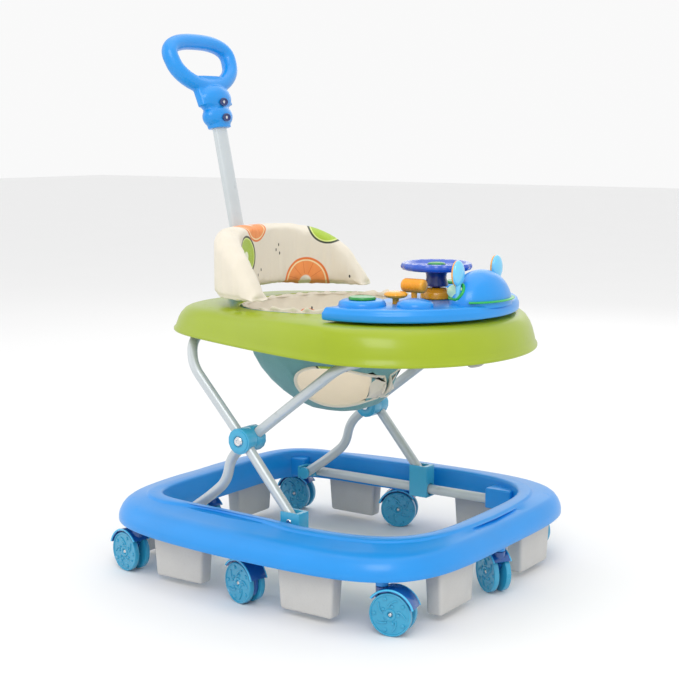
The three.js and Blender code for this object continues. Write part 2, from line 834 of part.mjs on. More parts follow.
const KNOB = { x: 150, y: -92 };
function turnKnob() {
  const profile = [
    [0, 429],
    [5, 429],
    [5, 448],
    [15, 450],
    [17.5, 453],
    [15, 457],
    [0, 459],
  ];
  return placed(turned(profile, 14), V3(KNOB.x, KNOB.y, 0));
}

// A toy wing mirror: an oval shell on a short stalk beside the hood.
function wingMirror(side) {
  const { x, y, z } = MIRROR;
  const shell = solid(new THREE.SphereGeometry(1, 10, 6)).scale([7, 14.5, 19]);
  return shell.translate([x, y * side, z]).add(bar(V3(x, y * side, 445), V3(x, y * side, 474), 5, 10));
}

// ---- Assembly -----------------------------------------------------------------------------------
const walker = new THREE.Group();

function add(name, shape, material, parent = walker) {
  const mesh = new THREE.Mesh(shape.isBufferGeometry ? shape : geometryOf(shape), material);
  mesh.name = name;
  parent.add(mesh);
  return mesh;
}

add("base_shell", baseShell(), MATERIALS.skyBlue);
for (const [name, x, y, turn] of PADS) {
  add(`brake_pad_${name}`, brakePad(x, y, turn), MATERIALS.padGrey);
}
for (const [name, x, y, heading] of CASTERS) {
  const caster = new THREE.Group();
  caster.position.set(x, y, 0);
  caster.rotation.z = RAD(heading);
  walker.add(caster);
  add(`caster_fork_${name}`, casterFork(), MATERIALS.deepBlue, caster);
  add(`caster_wheel_${name}`, twinWheel(), MATERIALS.cyan, caster);
}
for (const [name, side] of Object.entries(SIDES)) {
  const y = RAIL.y * side;
  const rail = bar(V3(RAIL.from, y, RAIL.z), V3(RAIL.to, y, RAIL.z), RAIL.r, 14);
  add(`base_rail_${name}`, rail, MATERIALS.paintedTube);
  add(`rear_foot_clamp_${name}`, rearFootClamp(side), MATERIALS.cyan);
  add(`slider_bracket_${name}`, sliderBracket(side), MATERIALS.cyan);
  add(`cross_cover_outer_${name}`, crossCover(side, "outer"), MATERIALS.cyan);
  add(`cross_cover_inner_${name}`, crossCover(side, "inner"), MATERIALS.cyan);
  add(`pivot_screw_${name}`, pivotScrew(side), MATERIALS.screw);
  add(`tray_hinge_${name}`, trayHinge(side), MATERIALS.padGrey);
  add(`wing_mirror_${name}`, wingMirror(side), MATERIALS.mirror);
  add(`round_button_${name}`, roundButton(side), MATERIALS.green);
}
add("rear_leg_tube", rearLeg(), MATERIALS.paintedTube);
add("front_leg_tube", frontLeg(), MATERIALS.paintedTube);
add("tray_shell", trayShell(), MATERIALS.lime);
add("height_rack", heightRack(), MATERIALS.padGrey);
add("seat_fabric", seatTub(), MATERIALS.canvas);
add("backrest_pad", backrest(), MATERIALS.canvas);
add("handle_socket", handleSocket(), MATERIALS.skyBlue);
add("push_tube", pushTube(), MATERIALS.paintedTube);
add("handle_grip", handleGrip(), MATERIALS.skyBlue);
add("handle_release_button", releaseButton(), MATERIALS.yellow);
add("play_tray", playTray(), MATERIALS.skyBlue);
add("steering_base", steeringBase(), MATERIALS.yellow);
add("steering_wheel", steeringWheel(), MATERIALS.royalBlue);
add("wheel_badge", wheelBadge(), MATERIALS.green);
add("drum_lever", drumLever(), MATERIALS.yellow);
add("turn_knob", turnKnob(), MATERIALS.yellow);
// The middle of the whole object stands over the origin.
const bounds = new THREE.Box3().setFromObject(walker);
walker.position.x = -(bounds.min.x + bounds.max.x) / 2;

export default walker;
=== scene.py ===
"""Finishes a folding baby walker: skins, cloth, cushion, toys, casters and a plain stage."""
from math import atan2, cos, pi, radians, sin, sqrt, tan

import bmesh
import bpy
from mathutils import Matrix, Vector

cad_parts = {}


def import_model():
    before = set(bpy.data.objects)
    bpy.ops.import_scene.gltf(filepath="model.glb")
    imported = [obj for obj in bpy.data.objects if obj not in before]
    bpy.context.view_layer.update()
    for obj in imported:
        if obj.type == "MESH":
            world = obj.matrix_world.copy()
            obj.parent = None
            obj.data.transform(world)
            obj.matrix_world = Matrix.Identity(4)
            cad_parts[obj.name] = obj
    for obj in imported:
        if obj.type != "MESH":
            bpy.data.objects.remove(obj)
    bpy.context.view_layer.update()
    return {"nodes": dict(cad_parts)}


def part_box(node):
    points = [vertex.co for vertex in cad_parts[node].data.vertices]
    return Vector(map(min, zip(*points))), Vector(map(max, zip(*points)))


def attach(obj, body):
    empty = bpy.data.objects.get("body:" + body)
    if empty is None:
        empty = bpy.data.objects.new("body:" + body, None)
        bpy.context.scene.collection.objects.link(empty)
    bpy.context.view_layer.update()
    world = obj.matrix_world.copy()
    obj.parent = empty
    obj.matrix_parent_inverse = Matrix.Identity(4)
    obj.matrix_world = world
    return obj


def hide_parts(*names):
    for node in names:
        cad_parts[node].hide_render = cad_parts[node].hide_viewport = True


bl_info = {
    "name": "Folding baby walker",
    "version": (1, 0, 0),
    "blender": (4, 5, 0),
    "location": "View3D > Sidebar > Walker",
    "description": "Builds the finished skins, cloth and toys of a folding baby walker",
    "category": "Add Mesh",
}

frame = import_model()
NODES = frame["nodes"]

# Lengths below are millimetres in the maker's drawing, where the rails start at x = -250.
MM = 0.001
RAIL_START = -250
DRAWING_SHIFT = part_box("base_rail_right")[0][0] - RAIL_START * MM
SIDES = {"right": -1, "left": 1}
CORNERS = {
    "rear_right": (-245, -226, -12),
    "rear_left": (-245, 226, 5),
    "side_right": (-30, -241, 165),
    "side_left": (-30, 241, 20),
    "front_right": (224, -240, 191),
    "front_left": (224, 240, -8),
    "nose": (279, -2, -33),
    "tail": (-281, 0, -10),
}
PADS = {
    "side_rear_right": (-141, -236, 0),
    "side_rear_left": (-141, 236, 180),
    "side_front_right": (110, -253, 0),
    "side_front_left": (110, 253, 180),
    "front_right": (264, -122, 90),
    "front_left": (264, 122, 90),
    "rear_right": (-290, -118, -90),
    "rear_left": (-290, 118, -90),
}
RAIL = {"y": 182, "z": 90, "start": -250, "end": 196}
TUBE_RADIUS = 8
LEG_BEND = 26
INNER_LEG_Y = 164
OUTER_LEG_Y = 182
CROSS = (-64, 226)
CROSS_Y = 173
TRAIL = 17
AXLE = 31
POST_X = -215
POST_BEND = 516
POST_LEAN = radians(12)
LOOP_LEAN = radians(22.3)
COLUMN = (164, 0)
DRUM = (160, -57)
KNOB = (150, -92)
BIG_MOUND = (122, 138)
SMALL_MOUND = (193, 108)
HOOD = {"x": 240, "long": 40, "wide": 64, "tall": 52, "z": 436}
MIRROR = {"x": 235, "y": 58, "z": 486}
PAD_CENTRE = -55
SEAT_CENTRE = -32
LEG_HOLE = {"x": 30, "z": 304, "long": 48, "high": 34}
RAIL_BLOCK = {"spans": ((158, 205), (-256, -209)), "y": 192, "z": 93, "wide": 40, "high": 34}
PAD = {"long": 100, "deep": 27, "high": 69.6, "z": 44.8, "taper": 0.9, "round": 5}
PAD_SLOT = {"x": 22, "z": 75, "long": 26, "deep": 8, "high": 6}

# Mesh and cloth settings.
SAME_POINT = 2e-6
CAD_SAME_POINT = 1e-5
SHARP_EDGE = radians(35)
FILL_STEPS = 20
FILL_PRESSURE = 4
GRIP_VOXEL = 1.6
STEERING_NOTCHES = 18
KNOB_RIDGES = 12
STUDS_PER_DISC = 5


def world(x, y, z):
    """A point of the drawing in the scene's metres."""
    return Vector((x * MM + DRAWING_SHIFT, y * MM, z * MM))


def paint(code):
    """A colour code as the linear red, green and blue that a shader takes."""
    values = [int(code[k : k + 2], 16) / 255 for k in (1, 3, 5)]
    return tuple(v / 12.92 if v <= 0.04045 else ((v + 0.055) / 1.055) ** 2.4 for v in values)


def power(value, n):
    """One coordinate of a rounded rectangle whose corners tighten as n grows."""
    return (1 if value >= 0 else -1) * abs(value) ** (2 / n)


def ease(value, low, high):
    """0 below low, 1 above high and a smooth rise between them."""
    share = min(1, max(0, (value - low) / (high - low)))
    return share * share * (3 - 2 * share)


# ---- What a user would change ------------------------------------------------------------------
def colour(label, code):
    """A colour property with its default."""
    return bpy.props.FloatVectorProperty(
        name=label, description=f"Colour of the {label.lower()}", subtype="COLOR",
        size=3, min=0, max=1, default=paint(code),
    )


def length(label, text, default):
    """A length property in metres, with its default in millimetres."""
    return bpy.props.FloatProperty(
        name=label, description=text, unit="LENGTH", subtype="DISTANCE",
        min=0, default=default * MM,
    )


class WalkerColours(bpy.types.PropertyGroup):
    """Colours of the walker's materials."""

    shell: colour("Base and handle", "#0A8FE2")
    fork: colour("Caster hoods", "#14539C")
    wheel: colour("Caster discs", "#2F9DC4")
    bracket: colour("Brackets and covers", "#3BA7CE")
    tray: colour("Tray ring", "#98AC00")
    pad: colour("Brake pads", "#C9C8C5")
    tube: colour("Painted tubes", "#C5CCCF")
    steering: colour("Steering wheel", "#2257C4")
    column: colour("Steering column", "#12337F")
    yellow: colour("Yellow toys", "#F2A516")
    green: colour("Green toys", "#0C8F36")
    mirror: colour("Toy mirrors", "#6CC6EE")
    cloth: colour("Printed cloth", "#E9E0CE")
    canvas: colour("Seat outside", "#6FA7A8")
    floor: colour("Floor", "#F2F2F2")


class WalkerSizes(bpy.types.PropertyGroup):
    """Sizes of the walker's finish."""

    edge: length("Edge radius", "Rounding of moulded edges", 0.9)
    puff: length("Cushion swell", "Furthest that the cushion's cloth may swell", 9)
    voxel: length("Cushion mesh", "Voxel of the cushion before it is blown up", 5)
    ruffle: length("Ruffle height", "How far the gathered edge of the seat stands up", 9)
    hem: length("Leg hole binding", "Radius of the bound edge of a leg hole", 2.6)
    cloth_wall: length("Seat cloth", "Thickness of the seat's padded cloth", 3)
    thread: length("Thread pitch", "Distance between threads of the cloth", 1.2)


# ---- Shader expressions ------------------------------------------------------------------------
class Value:
    """A shader socket that takes part in sums, so that 1 - mask adds a Math node."""

    def __init__(self, finish, socket):
        self.finish = finish
        self.socket = socket

    def math(self, operation, *others):
        """A Math node on this value and the others."""
        values = dict(enumerate((self,) + others))
        return self.finish.node("ShaderNodeMath", {"operation": operation}, values)

    def __add__(self, other):
        return self.math("ADD", other)

    def __radd__(self, other):
        return self.math("ADD", other)

    def __sub__(self, other):
        return self.math("SUBTRACT", other)

    def __rsub__(self, other):
        values = {0: other, 1: self}
        return self.finish.node("ShaderNodeMath", {"operation": "SUBTRACT"}, values)

    def __mul__(self, other):
        return self.math("MULTIPLY", other)

    def __rmul__(self, other):
        return self.math("MULTIPLY", other)

    def __truediv__(self, other):
        return self.math("DIVIDE", other)

    def __pow__(self, other):
        return self.math("POWER", other)


class Finish:
    """A material whose nodes are added one by one."""

    def __init__(self, name, slot, roughness, coat=0.0, metallic=0.0, sheen=0.0):
        self.material = bpy.data.materials.new(name)
        self.material.use_nodes = True
        self.slot = slot
        self.tree = self.material.node_tree
        self.shader = self.tree.nodes["Principled BSDF"]
        uniform = {
            "Roughness": roughness,
            "Coat Weight": coat,
            "Metallic": metallic,
            "Sheen Weight": sheen,
            "Coat Roughness": 0.12,
        }
        for socket, value in uniform.items():
            self.shader.inputs[socket].default_value = value

    def node(self, kind, settings=None, values=None, output=0):
        """Adds a node with its settings, then its values or links, and returns one output."""
        made = self.tree.nodes.new(kind)
        for key, setting in (settings or {}).items():
            setattr(made, key, setting)
        for key, value in (values or {}).items():
            self.feed(made.inputs[key], value)
        return Value(self, made.outputs[output])

    def feed(self, socket, value):
        """Links a Value to a socket, or sets a plain value on it."""
        if isinstance(value, Value):
            self.tree.links.new(value.socket, socket)
            return
        if hasattr(value, "__len__") and len(value) == 3 and socket.type == "RGBA":
            value = (*value, 1)
        socket.default_value = value

    def place(self):
        """The point on the piece, in metres."""
        return self.node("ShaderNodeTexCoord", output="Object")

    def axes(self):
        """The point's x, y and z as three values."""
        split = self.tree.nodes.new("ShaderNodeSeparateXYZ")
        self.feed(split.inputs[0], self.place())
        return [Value(self, socket) for socket in split.outputs]

    def cloud(self, scale, detail=3):
        """Soft noise from 0 to 1."""
        values = {"Vector": self.place(), "Scale": scale, "Detail": detail}
        return self.node("ShaderNodeTexNoise", None, values)

    def band(self, value, low, high):
        """0 where value is below low, 1 above high, with a smooth edge."""
        settings = {"interpolation_type": "SMOOTHSTEP"}
        values = {"Value": value, "From Min": low, "From Max": high}
        return self.node("ShaderNodeMapRange", settings, values)

    def mix(self, share, first, second):
        """The first colour at share 0 and the second at 1."""
        values = {"Factor": share, 6: first, 7: second}
        return self.node("ShaderNodeMix", {"data_type": "RGBA"}, values, output=2)

    def bump(self, height, depth, strength=1.0):
        """Feeds the shader a bump of that depth in metres."""
        values = {"Height": height, "Distance": depth, "Strength": strength}
        normal = self.node("ShaderNodeBump", None, values)
        self.feed(self.shader.inputs["Normal"], normal)

    def set(self, **sockets):
        """Feeds the shader's sockets, with underscores for spaces in their names."""
        for name, value in sockets.items():
            self.feed(self.shader.inputs[name.replace("_", " ")], value)


def tint(rgb, factor):
    """A colour made lighter or darker."""
    return tuple(min(1, channel * factor) for channel in rgb)


def moulded(name, slot, rgb, roughness=0.3, coat=0.35):
    """Glossy moulded plastic: faint clouding, a fine grain and soft handling marks."""
    finish = Finish(name, slot, roughness, coat)
    clouding = finish.cloud(14)
    marks = finish.band(finish.cloud(95, 8), 0.58, 0.78)
    body = finish.mix(clouding, tint(rgb, 0.9), tint(rgb, 1.08))
    finish.set(Base_Color=finish.mix(marks * 0.12, body, tint(rgb, 1.25)))
    finish.set(Roughness=marks * 0.14 + (clouding * 0.08 + (roughness - 0.04)))
    finish.bump(finish.cloud(850, 2) * 0.5 + finish.cloud(60) * 0.5, 0.00025, 0.35)
    return finish


def rubbery(name, slot, rgb):
    """Matt grey rubber-like plastic with a pebbled grain."""
    finish = Finish(name, slot, 0.55, 0.0)
    specks = finish.band(finish.cloud(420, 4), 0.5, 0.72)
    body = finish.mix(finish.cloud(22, 5), tint(rgb, 0.88), tint(rgb, 1.05))
    finish.set(Base_Color=finish.mix(specks * 0.25, body, tint(rgb, 0.8)))
    finish.set(Roughness=finish.cloud(40, 4) * 0.2 + 0.45)
    finish.bump(finish.cloud(700, 3), 0.0004, 0.5)
    return finish


def enamelled(name, slot, rgb):
    """Satin powder paint on steel tube: a fine orange peel and a few worn marks."""
    finish = Finish(name, slot, 0.34, 0.3, 0.25)
    wear = finish.band(finish.cloud(55, 9), 0.64, 0.74)
    body = finish.mix(finish.cloud(30, 4), tint(rgb, 0.92), tint(rgb, 1.05))
    finish.set(Base_Color=finish.mix(wear * 0.35, body, tint(rgb, 0.72)))
    finish.set(Roughness=wear * 0.15 + (finish.cloud(18) * 0.1 + 0.27))
    finish.bump(finish.cloud(520, 3), 0.0003, 0.3)
    return finish


def plated(name, slot):
    """Bright plated steel with fine turning lines."""
    finish = Finish(name, slot, 0.22, 0.0, 1.0)
    spots = finish.cloud(240, 6)
    finish.set(Base_Color=finish.mix(spots, (0.55, 0.56, 0.58), (0.82, 0.83, 0.84)))
    finish.set(Roughness=finish.cloud(160, 5) * 0.22 + 0.14)
    finish.bump(finish.cloud(900, 2), 0.0002, 0.35)
    return finish


ORANGE = {
    "rind": paint("#E8731A"), "pith": paint("#FCE3B0"), "flesh": paint("#F59245"),
    "ray": paint("#D9601E"), "core": paint("#F3EBDD"),
}
KIWI = {
    "rind": paint("#20301C"), "pith": paint("#DCE98A"), "flesh": paint("#A8C62A"),
    "ray": paint("#8DB01E"), "core": paint("#EFF2DC"),
}
SEED = paint("#17181A")


def fruit_slice(finish, ground, spot, radius, tones, rays):
    """A cut slice printed on the ground colour: rind, pith, rayed flesh and a pale core."""
    across, up, centre, height = spot
    side = across - centre
    rise = up - height
    reach = (side * side + rise * rise) ** 0.5 / radius
    turn = finish.node("ShaderNodeMath", {"operation": "ARCTAN2"}, {0: rise, 1: side})
    spokes = (turn * (rays / 2)).math("SINE").math("ABSOLUTE")
    line = (1 - finish.band(spokes * reach, 0.02, 0.07)) * finish.band(reach, 0.28, 0.36)
    printed = finish.mix(line, tones["flesh"], tones["ray"])
    printed = finish.mix(1 - finish.band(reach, 0.22, 0.28), printed, tones["core"])
    printed = finish.mix(finish.band(reach, 0.83, 0.86), printed, tones["pith"])
    printed = finish.mix(finish.band(reach, 0.89, 0.92), printed, tones["rind"])
    inside = 1 - finish.band(reach, 0.985, 1.015)
    return finish.mix(inside, ground, printed)


def seeds(finish, ground, spot, radius=0.0028):
    """A dark upright pip printed on the ground colour."""
    across, up, centre, height = spot
    side = (across - centre) * 1.9
    rise = up - height
    reach = (side * side + rise * rise) ** 0.5 / radius
    return finish.mix(1 - finish.band(reach, 0.85, 1.05), ground, SEED)


def threads(across, up, pitch):
    """The height of a plain weave whose threads run along and across the cloth."""
    warp = (across * (2 * pi / pitch)).math("SINE")
    weft = (up * (2 * pi / pitch)).math("SINE")
    return (warp * weft) * 0.5 + 0.5


def printed_cloth(name, rgb, pitch, centre, radius, slices, pips):
    """Woven cotton with fruit printed on it, laid out round a centre and up the cloth, with painted
    shade in the dips between its threads.
    """
    finish = Finish(name, "canvas", 0.8, 0.0, 0.0, 0.25)
    x, y, z = finish.axes()
    behind = (centre * MM + DRAWING_SHIFT) - x
    turn = finish.node("ShaderNodeMath", {"operation": "ARCTAN2"}, {0: y, 1: behind})
    across = turn * (radius * MM)
    ground = finish.mix(finish.cloud(26, 4), tint(rgb, 0.93), tint(rgb, 1.04))
    for kind, angle, height, size in slices:
        spot = (across, z, radians(angle) * radius * MM, height * MM)
        tones, rays = (ORANGE, 11) if kind == "orange" else (KIWI, 30)
        ground = fruit_slice(finish, ground, spot, size * MM, tones, rays)
    for angle, height in pips:
        ground = seeds(finish, ground, (across, z, radians(angle) * radius * MM, height * MM))
    weave = threads(across, z, pitch)
    # Painted shade: the cloth is darkened where the weave dips between its threads.
    finish.set(Base_Color=finish.mix((1 - weave) * 0.12, ground, tint(rgb, 0.7)))
    finish.set(Roughness=weave * 0.08 + 0.74)
    finish.bump(weave * 0.6 + finish.cloud(120, 5) * 0.9, 0.0006, 0.5)
    return finish


def plain_canvas(name, rgb, pitch):
    """Heavy plain-woven canvas with slubs, with painted shade in the dips between its threads."""
    finish = Finish(name, "canvas", 0.85, 0.0, 0.0, 0.2)
    x, y, z = finish.axes()
    weave = threads(x + y, z, pitch)
    body = finish.mix(finish.cloud(60, 6), tint(rgb, 0.82), tint(rgb, 1.1))
    # Painted shade: the canvas is darkened where the weave dips between its threads.
    finish.set(Base_Color=finish.mix((1 - weave) * 0.25, body, tint(rgb, 0.6)))
    finish.set(Roughness=weave * 0.1 + 0.75)
    finish.bump(weave * 0.7 + finish.cloud(180, 5) * 0.6, 0.0007, 0.6)
    return finish


# ---- Modelling helpers -------------------------------------------------------------------------
def only(piece):
    """Selects that piece alone."""
    bpy.ops.object.select_all(action="DESELECT")
    piece.select_set(True)
    bpy.context.view_layer.objects.active = piece


def put_row(piece, row, stations, place):
    """Moves the selected row of vertices to where place says."""
    mesh = bmesh.from_edit_mesh(piece.data)
    number = mesh.verts.layers.int["station"]
    for vertex in mesh.verts:
        if vertex.select:
            vertex.co = place(row, 2 * pi * vertex[number] / stations)
    bmesh.update_edit_mesh(piece.data)


def brick(centre, size):
    """A box primitive with its place and size in its mesh."""
    bpy.ops.object.select_all(action="DESELECT")
    bpy.ops.mesh.primitive_cube_add(size=1, location=centre)
    piece = bpy.context.object
    piece.scale = [side * MM for side in size]
    bpy.ops.object.transform_apply(location=True, rotation=True, scale=True)
    return piece


def round_edges(piece, offset, segments):
    """Bevels every edge of a piece."""
    only(piece)
    bpy.ops.object.mode_set(mode="EDIT")
    bpy.ops.mesh.select_all(action="SELECT")
    bpy.ops.mesh.bevel(offset=offset * MM, segments=segments)
    bpy.ops.object.mode_set(mode="OBJECT")
    return piece


def apply_modifier(piece, kind, **settings):
    """Adds a modifier with its settings and applies it."""
    only(piece)
    modifier = piece.modifiers.new(kind.lower(), kind)
    for key, setting in settings.items():
        setattr(modifier, key, setting)
    bpy.ops.object.modifier_apply(modifier=modifier.name)


def clean(piece):
    """Merges doubles and turns the faces outwards."""
    only(piece)
    bpy.ops.object.mode_set(mode="EDIT")
    bpy.ops.mesh.select_all(action="SELECT")
    bpy.ops.mesh.remove_doubles(threshold=SAME_POINT)
    bpy.ops.mesh.normals_make_consistent(inside=False)
    bpy.ops.object.mode_set(mode="OBJECT")


def loft(name, stations, rows, place, closed=False, capped=False):
    """A circle extruded row by row, each row put where place(row, turn) says."""
    bpy.ops.object.select_all(action="DESELECT")
    bpy.ops.mesh.primitive_circle_add(vertices=stations, radius=1)
    piece = bpy.context.object
    piece.name = name
    bpy.ops.object.mode_set(mode="EDIT")
    mesh = bmesh.from_edit_mesh(piece.data)
    number = mesh.verts.layers.int.new("station")
    for vertex in mesh.verts:
        vertex[number] = vertex.index
    put_row(piece, rows[0], stations, place)
    for row in rows[1:] + (rows[:1] if closed else []):
        bpy.ops.mesh.extrude_region_move()
        put_row(piece, row, stations, place)
    if capped:
        bpy.ops.mesh.select_all(action="SELECT")
        bpy.ops.mesh.fill_holes(sides=0)
    bpy.ops.object.mode_set(mode="OBJECT")
    clean(piece)
    piece.data.attributes.remove(piece.data.attributes["station"])
    return piece


TURNED = {
    "X": Matrix.Rotation(pi / 2, 4, "Y"),
    "Y": Matrix.Rotation(-pi / 2, 4, "X"),
    "Z": Matrix.Identity(4),
}


def lathe(name, profile, centre, axis="Z", stations=48, stretch=(1, 1)):
    """A profile of (radius, height) turned about an axis through the centre."""
    spin = TURNED[axis]
    middle = Vector(centre)

    def place(row, turn):
        radius, height = row
        local = Vector((radius * cos(turn) * stretch[0], radius * sin(turn) * stretch[1], height))
        return world(*(middle + spin @ local))

    return loft(name, stations, list(profile), place, capped=True)


def bent_path(points, reach, steps=8):
    """Points of a polyline whose corners are rounded, with the direction at each."""
    corners = [Vector(point) for point in points]
    path = [corners[0]]
    for before, corner, after in zip(corners, corners[1:], corners[2:]):
        towards, away = before - corner, after - corner
        trim = min(reach, towards.length * 0.48, away.length * 0.48)
        start = corner + towards.normalized() * trim
        end = corner + away.normalized() * trim
        for k in range(steps + 1):
            t = k / steps
            path.append(start * (1 - t) ** 2 + corner * 2 * t * (1 - t) + end * t * t)
    path.append(corners[-1])
    return path


def rails_of(path, looped=False):
    """Each point of a path with its two cross directions, carried along without twist."""
    count = len(path)
    side = Vector((0, 1, 0))
    frames = []
    for k, point in enumerate(path):
        ahead = path[(k + 1) % count] if looped else path[min(k + 1, count - 1)]
        behind = path[k - 1] if looped else path[max(k - 1, 0)]
        along = (ahead - behind).normalized()
        if abs(along.dot(side)) > 0.98:
            side = Vector((1, 0, 0))
        side = (side - along * side.dot(along)).normalized()
        frames.append((point, side.copy(), along.cross(side)))
    return frames


def sweep(name, path, section, stations=24, looped=False):
    """A section carried along a path, with its ends closed."""

    def place(row, turn):
        point, side, up = row
        across, rise = section(turn)
        return world(*(point + side * across + up * rise))

    rows = rails_of(path, looped)
    return loft(name, stations, rows, place, closed=looped, capped=not looped)


def round_bar(radius):
    """The section of a round bar."""
    return lambda turn: (radius * cos(turn), radius * sin(turn))


def flat_oval(across, along):
    """The section of a flat oval tube."""
    return lambda turn: (across * power(cos(turn), 2.6), along * power(sin(turn), 2.6))


def recast(node, name, edge=0.9, segments=2):
    """A copy of a CAD node, merged, with its sharp edges rounded."""
    piece = bpy.data.objects.new(name, NODES[node].data.copy())
    bpy.context.scene.collection.objects.link(piece)
    piece.data.materials.clear()
    only(piece)
    bpy.ops.mesh.customdata_custom_splitnormals_clear()
    bpy.ops.object.mode_set(mode="EDIT")
    bpy.ops.mesh.select_all(action="SELECT")
    bpy.ops.mesh.remove_doubles(threshold=CAD_SAME_POINT)
    bpy.ops.mesh.dissolve_limited(angle_limit=radians(1))
    bpy.ops.object.mode_set(mode="OBJECT")
    apply_modifier(piece, "BEVEL", width=edge * MM, segments=segments, limit_method="ANGLE",
                   angle_limit=SHARP_EDGE)
    return piece


def dress(piece, finish, angle=38):
    """Gives a piece its finish and smooth shading over gentle edges."""
    piece.data.materials.clear()
    piece.data.materials.append(finish.material)
    only(piece)
    bpy.ops.object.shade_smooth_by_angle(angle=radians(angle))
    return piece


def fit(piece, body, finish, *nodes, angle=38):
    """Finishes a piece, sets it on its body and lets it stand for CAD nodes."""
    dress(piece, finish, angle)
    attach(piece, body)
    if nodes:
        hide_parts(*nodes)
    return piece


def flute(piece, centre, growth):
    """Moves each point in or out from an upright axis by growth(radius, angle, height)."""
    for vertex in piece.data.vertices:
        x = (vertex.co.x - DRAWING_SHIFT) / MM - centre[0]
        y = vertex.co.y / MM - centre[1]
        grown = growth(sqrt(x * x + y * y), atan2(y, x), vertex.co.z / MM)
        vertex.co.x += x * grown * MM
        vertex.co.y += y * grown * MM


def again(piece, name, move):
    """A copy of a piece with its own mesh, moved."""
    copied = bpy.data.objects.new(name, piece.data.copy())
    bpy.context.scene.collection.objects.link(copied)
    copied.data.transform(move)
    return copied


def joined(name, *parts):
    """Several parts as one piece."""
    only(parts[0])
    for part in parts[1:]:
        part.select_set(True)
    bpy.ops.object.join()
    parts[0].name = name
    return parts[0]


def caster_place(name):
    """The matrix that carries a caster from the drawing's origin to its corner."""
    x, y, heading = CORNERS[name]
    return Matrix.Translation(world(x, y, 0)) @ Matrix.Rotation(radians(heading), 4, "Z")


# ---- Plan curves -------------------------------------------------------------------------------
def base_outer(turn):
    """Outline of the base."""
    c, s = cos(turn), sin(turn)
    n = 4.3 if c > 0 else 3.7
    x = -10 + (307 if c > 0 else 322) * power(c, n)
    half = 292 - 12 * (1 - ease(x, -230, 20))
    return x, half * power(s, n)


def base_inner(turn):
    """Opening of the base."""
    c, s = cos(turn), sin(turn)
    n = 4 if c > 0 else 7
    x = (246 if c > 0 else 252) * power(c, n)
    return x, (200 + 13 * ease(x, -60, 90)) * power(s, n)


def tray_outer(turn):
    """Outline of the tray ring."""
    c, s = cos(turn), sin(turn)
    if c > 0:
        return 120 + 178 * c, 228 * s
    x = 120 + 388 * power(c, 3.6)
    return x, (197 + 31 * ease(x, -160, 120)) * power(s, 3.6)


def tray_inner(turn):
    """Opening of the tray ring."""
    return -32 + 127 * power(cos(turn), 2.3), 148 * power(sin(turn), 2.3)


def crease_sway(turn):
    """How far the base's crease keeps from the opening: close to it along the sides."""
    x, y = base_outer(turn)
    if abs(y) < 250:
        return 1.0
    return 0.5 + 0.5 * ease(abs(x + 70), 20, 150)


def between(inner, outer, height=None, sway=lambda turn: 1):
    """Places a section row of (share, drop, z) between two plan curves."""

    def place(row, turn):
        share, drop, z = row
        (ax, ay), (bx, by) = inner(turn), outer(turn)
        if share == 0 and drop > 20:
            drop *= sway(turn)
        part = share + drop / sqrt((bx - ax) ** 2 + (by - ay) ** 2)
        x, y = ax + (bx - ax) * part, ay + (by - ay) * part
        return world(x, y, z if height is None else height(x, z))

    return place


def play_outline(turn):
    """Outline of the play tray: a long arc in front and a shallow curve behind."""
    if cos(turn) > -0.08:
        return 104 + 174 * cos(turn), 190 * sin(turn)
    y = 189 * power(sin(turn), 3.2)
    return 101 - 15 * min(1, abs(y / 189)) ** 3, y


# ---- Operators ---------------------------------------------------------------------------------
class WalkerOperator(bpy.types.Operator):
    """A step that builds one piece or group of like pieces of the walker."""

    bl_options = {"REGISTER", "UNDO"}

    def execute(self, context):
        self.build(context.scene.walker_colours, context.scene.walker_sizes)
        return {"FINISHED"}


BASE_ROWS = [
    (1, -3, 78), (1, -0.8, 78), (1, 0, 79), (1, 0, 85), (1, -1.4, 91), (1, -5, 98.5),
    (1, -10, 104.8), (1, -16, 109), (1, -22, 111.4), (1, -30, 113.4), (0, 28, 116.6),
    (0, 26.4, 117.2), (0, 25.2, 118.4), (0, 24, 119.8), (0, 22, 120.7), (0, 14, 121.3),
    (0, 7, 121.4), (0, 3, 120.8), (0, 0.8, 119.2), (0, 0, 116.5), (0, 0, 96), (0, 0, 73.6),
    (0, 0.6, 73), (0, 2.4, 73), (0, 3, 73.6), (0, 3, 115), (0, 8, 118), (1, -24, 110.5),
    (1, -19, 107), (1, -8, 96), (1, -3, 85),
]


class WALKER_OT_base(WalkerOperator):
    """Base ring with its crease, rail blocks and caster bosses"""

    bl_idname = "walker.base"
    bl_label = "Base ring"

    def build(self, colours, sizes):
        shell = moulded("base_plastic", "sky_blue", colours.shell, 0.36, 0.18)
        skin = loft("base_skin", 240, BASE_ROWS, between(base_inner, base_outer, None, crease_sway),
                    closed=True)
        parts = [skin]
        for side in SIDES.values():
            for low, high in RAIL_BLOCK["spans"]:
                parts.append(self.block(low, high, side))
        for x, y, _ in CORNERS.values():
            boss = [(5.6, 68), (9, 68), (9, 99), (5.6, 99)]
            parts.append(lathe("boss", boss + boss[:1], (x, y, 0), stations=32))
        fit(joined("base_crown", *parts), "base", shell, "base_shell", angle=50)

    def block(self, low, high, side):
        """One of the blocks that hold the ends of the rails."""
        middle = world((low + high) / 2, side * RAIL_BLOCK["y"], RAIL_BLOCK["z"])
        block = brick(middle, (high - low, RAIL_BLOCK["wide"], RAIL_BLOCK["high"]))
        return round_edges(block, 3, 3)


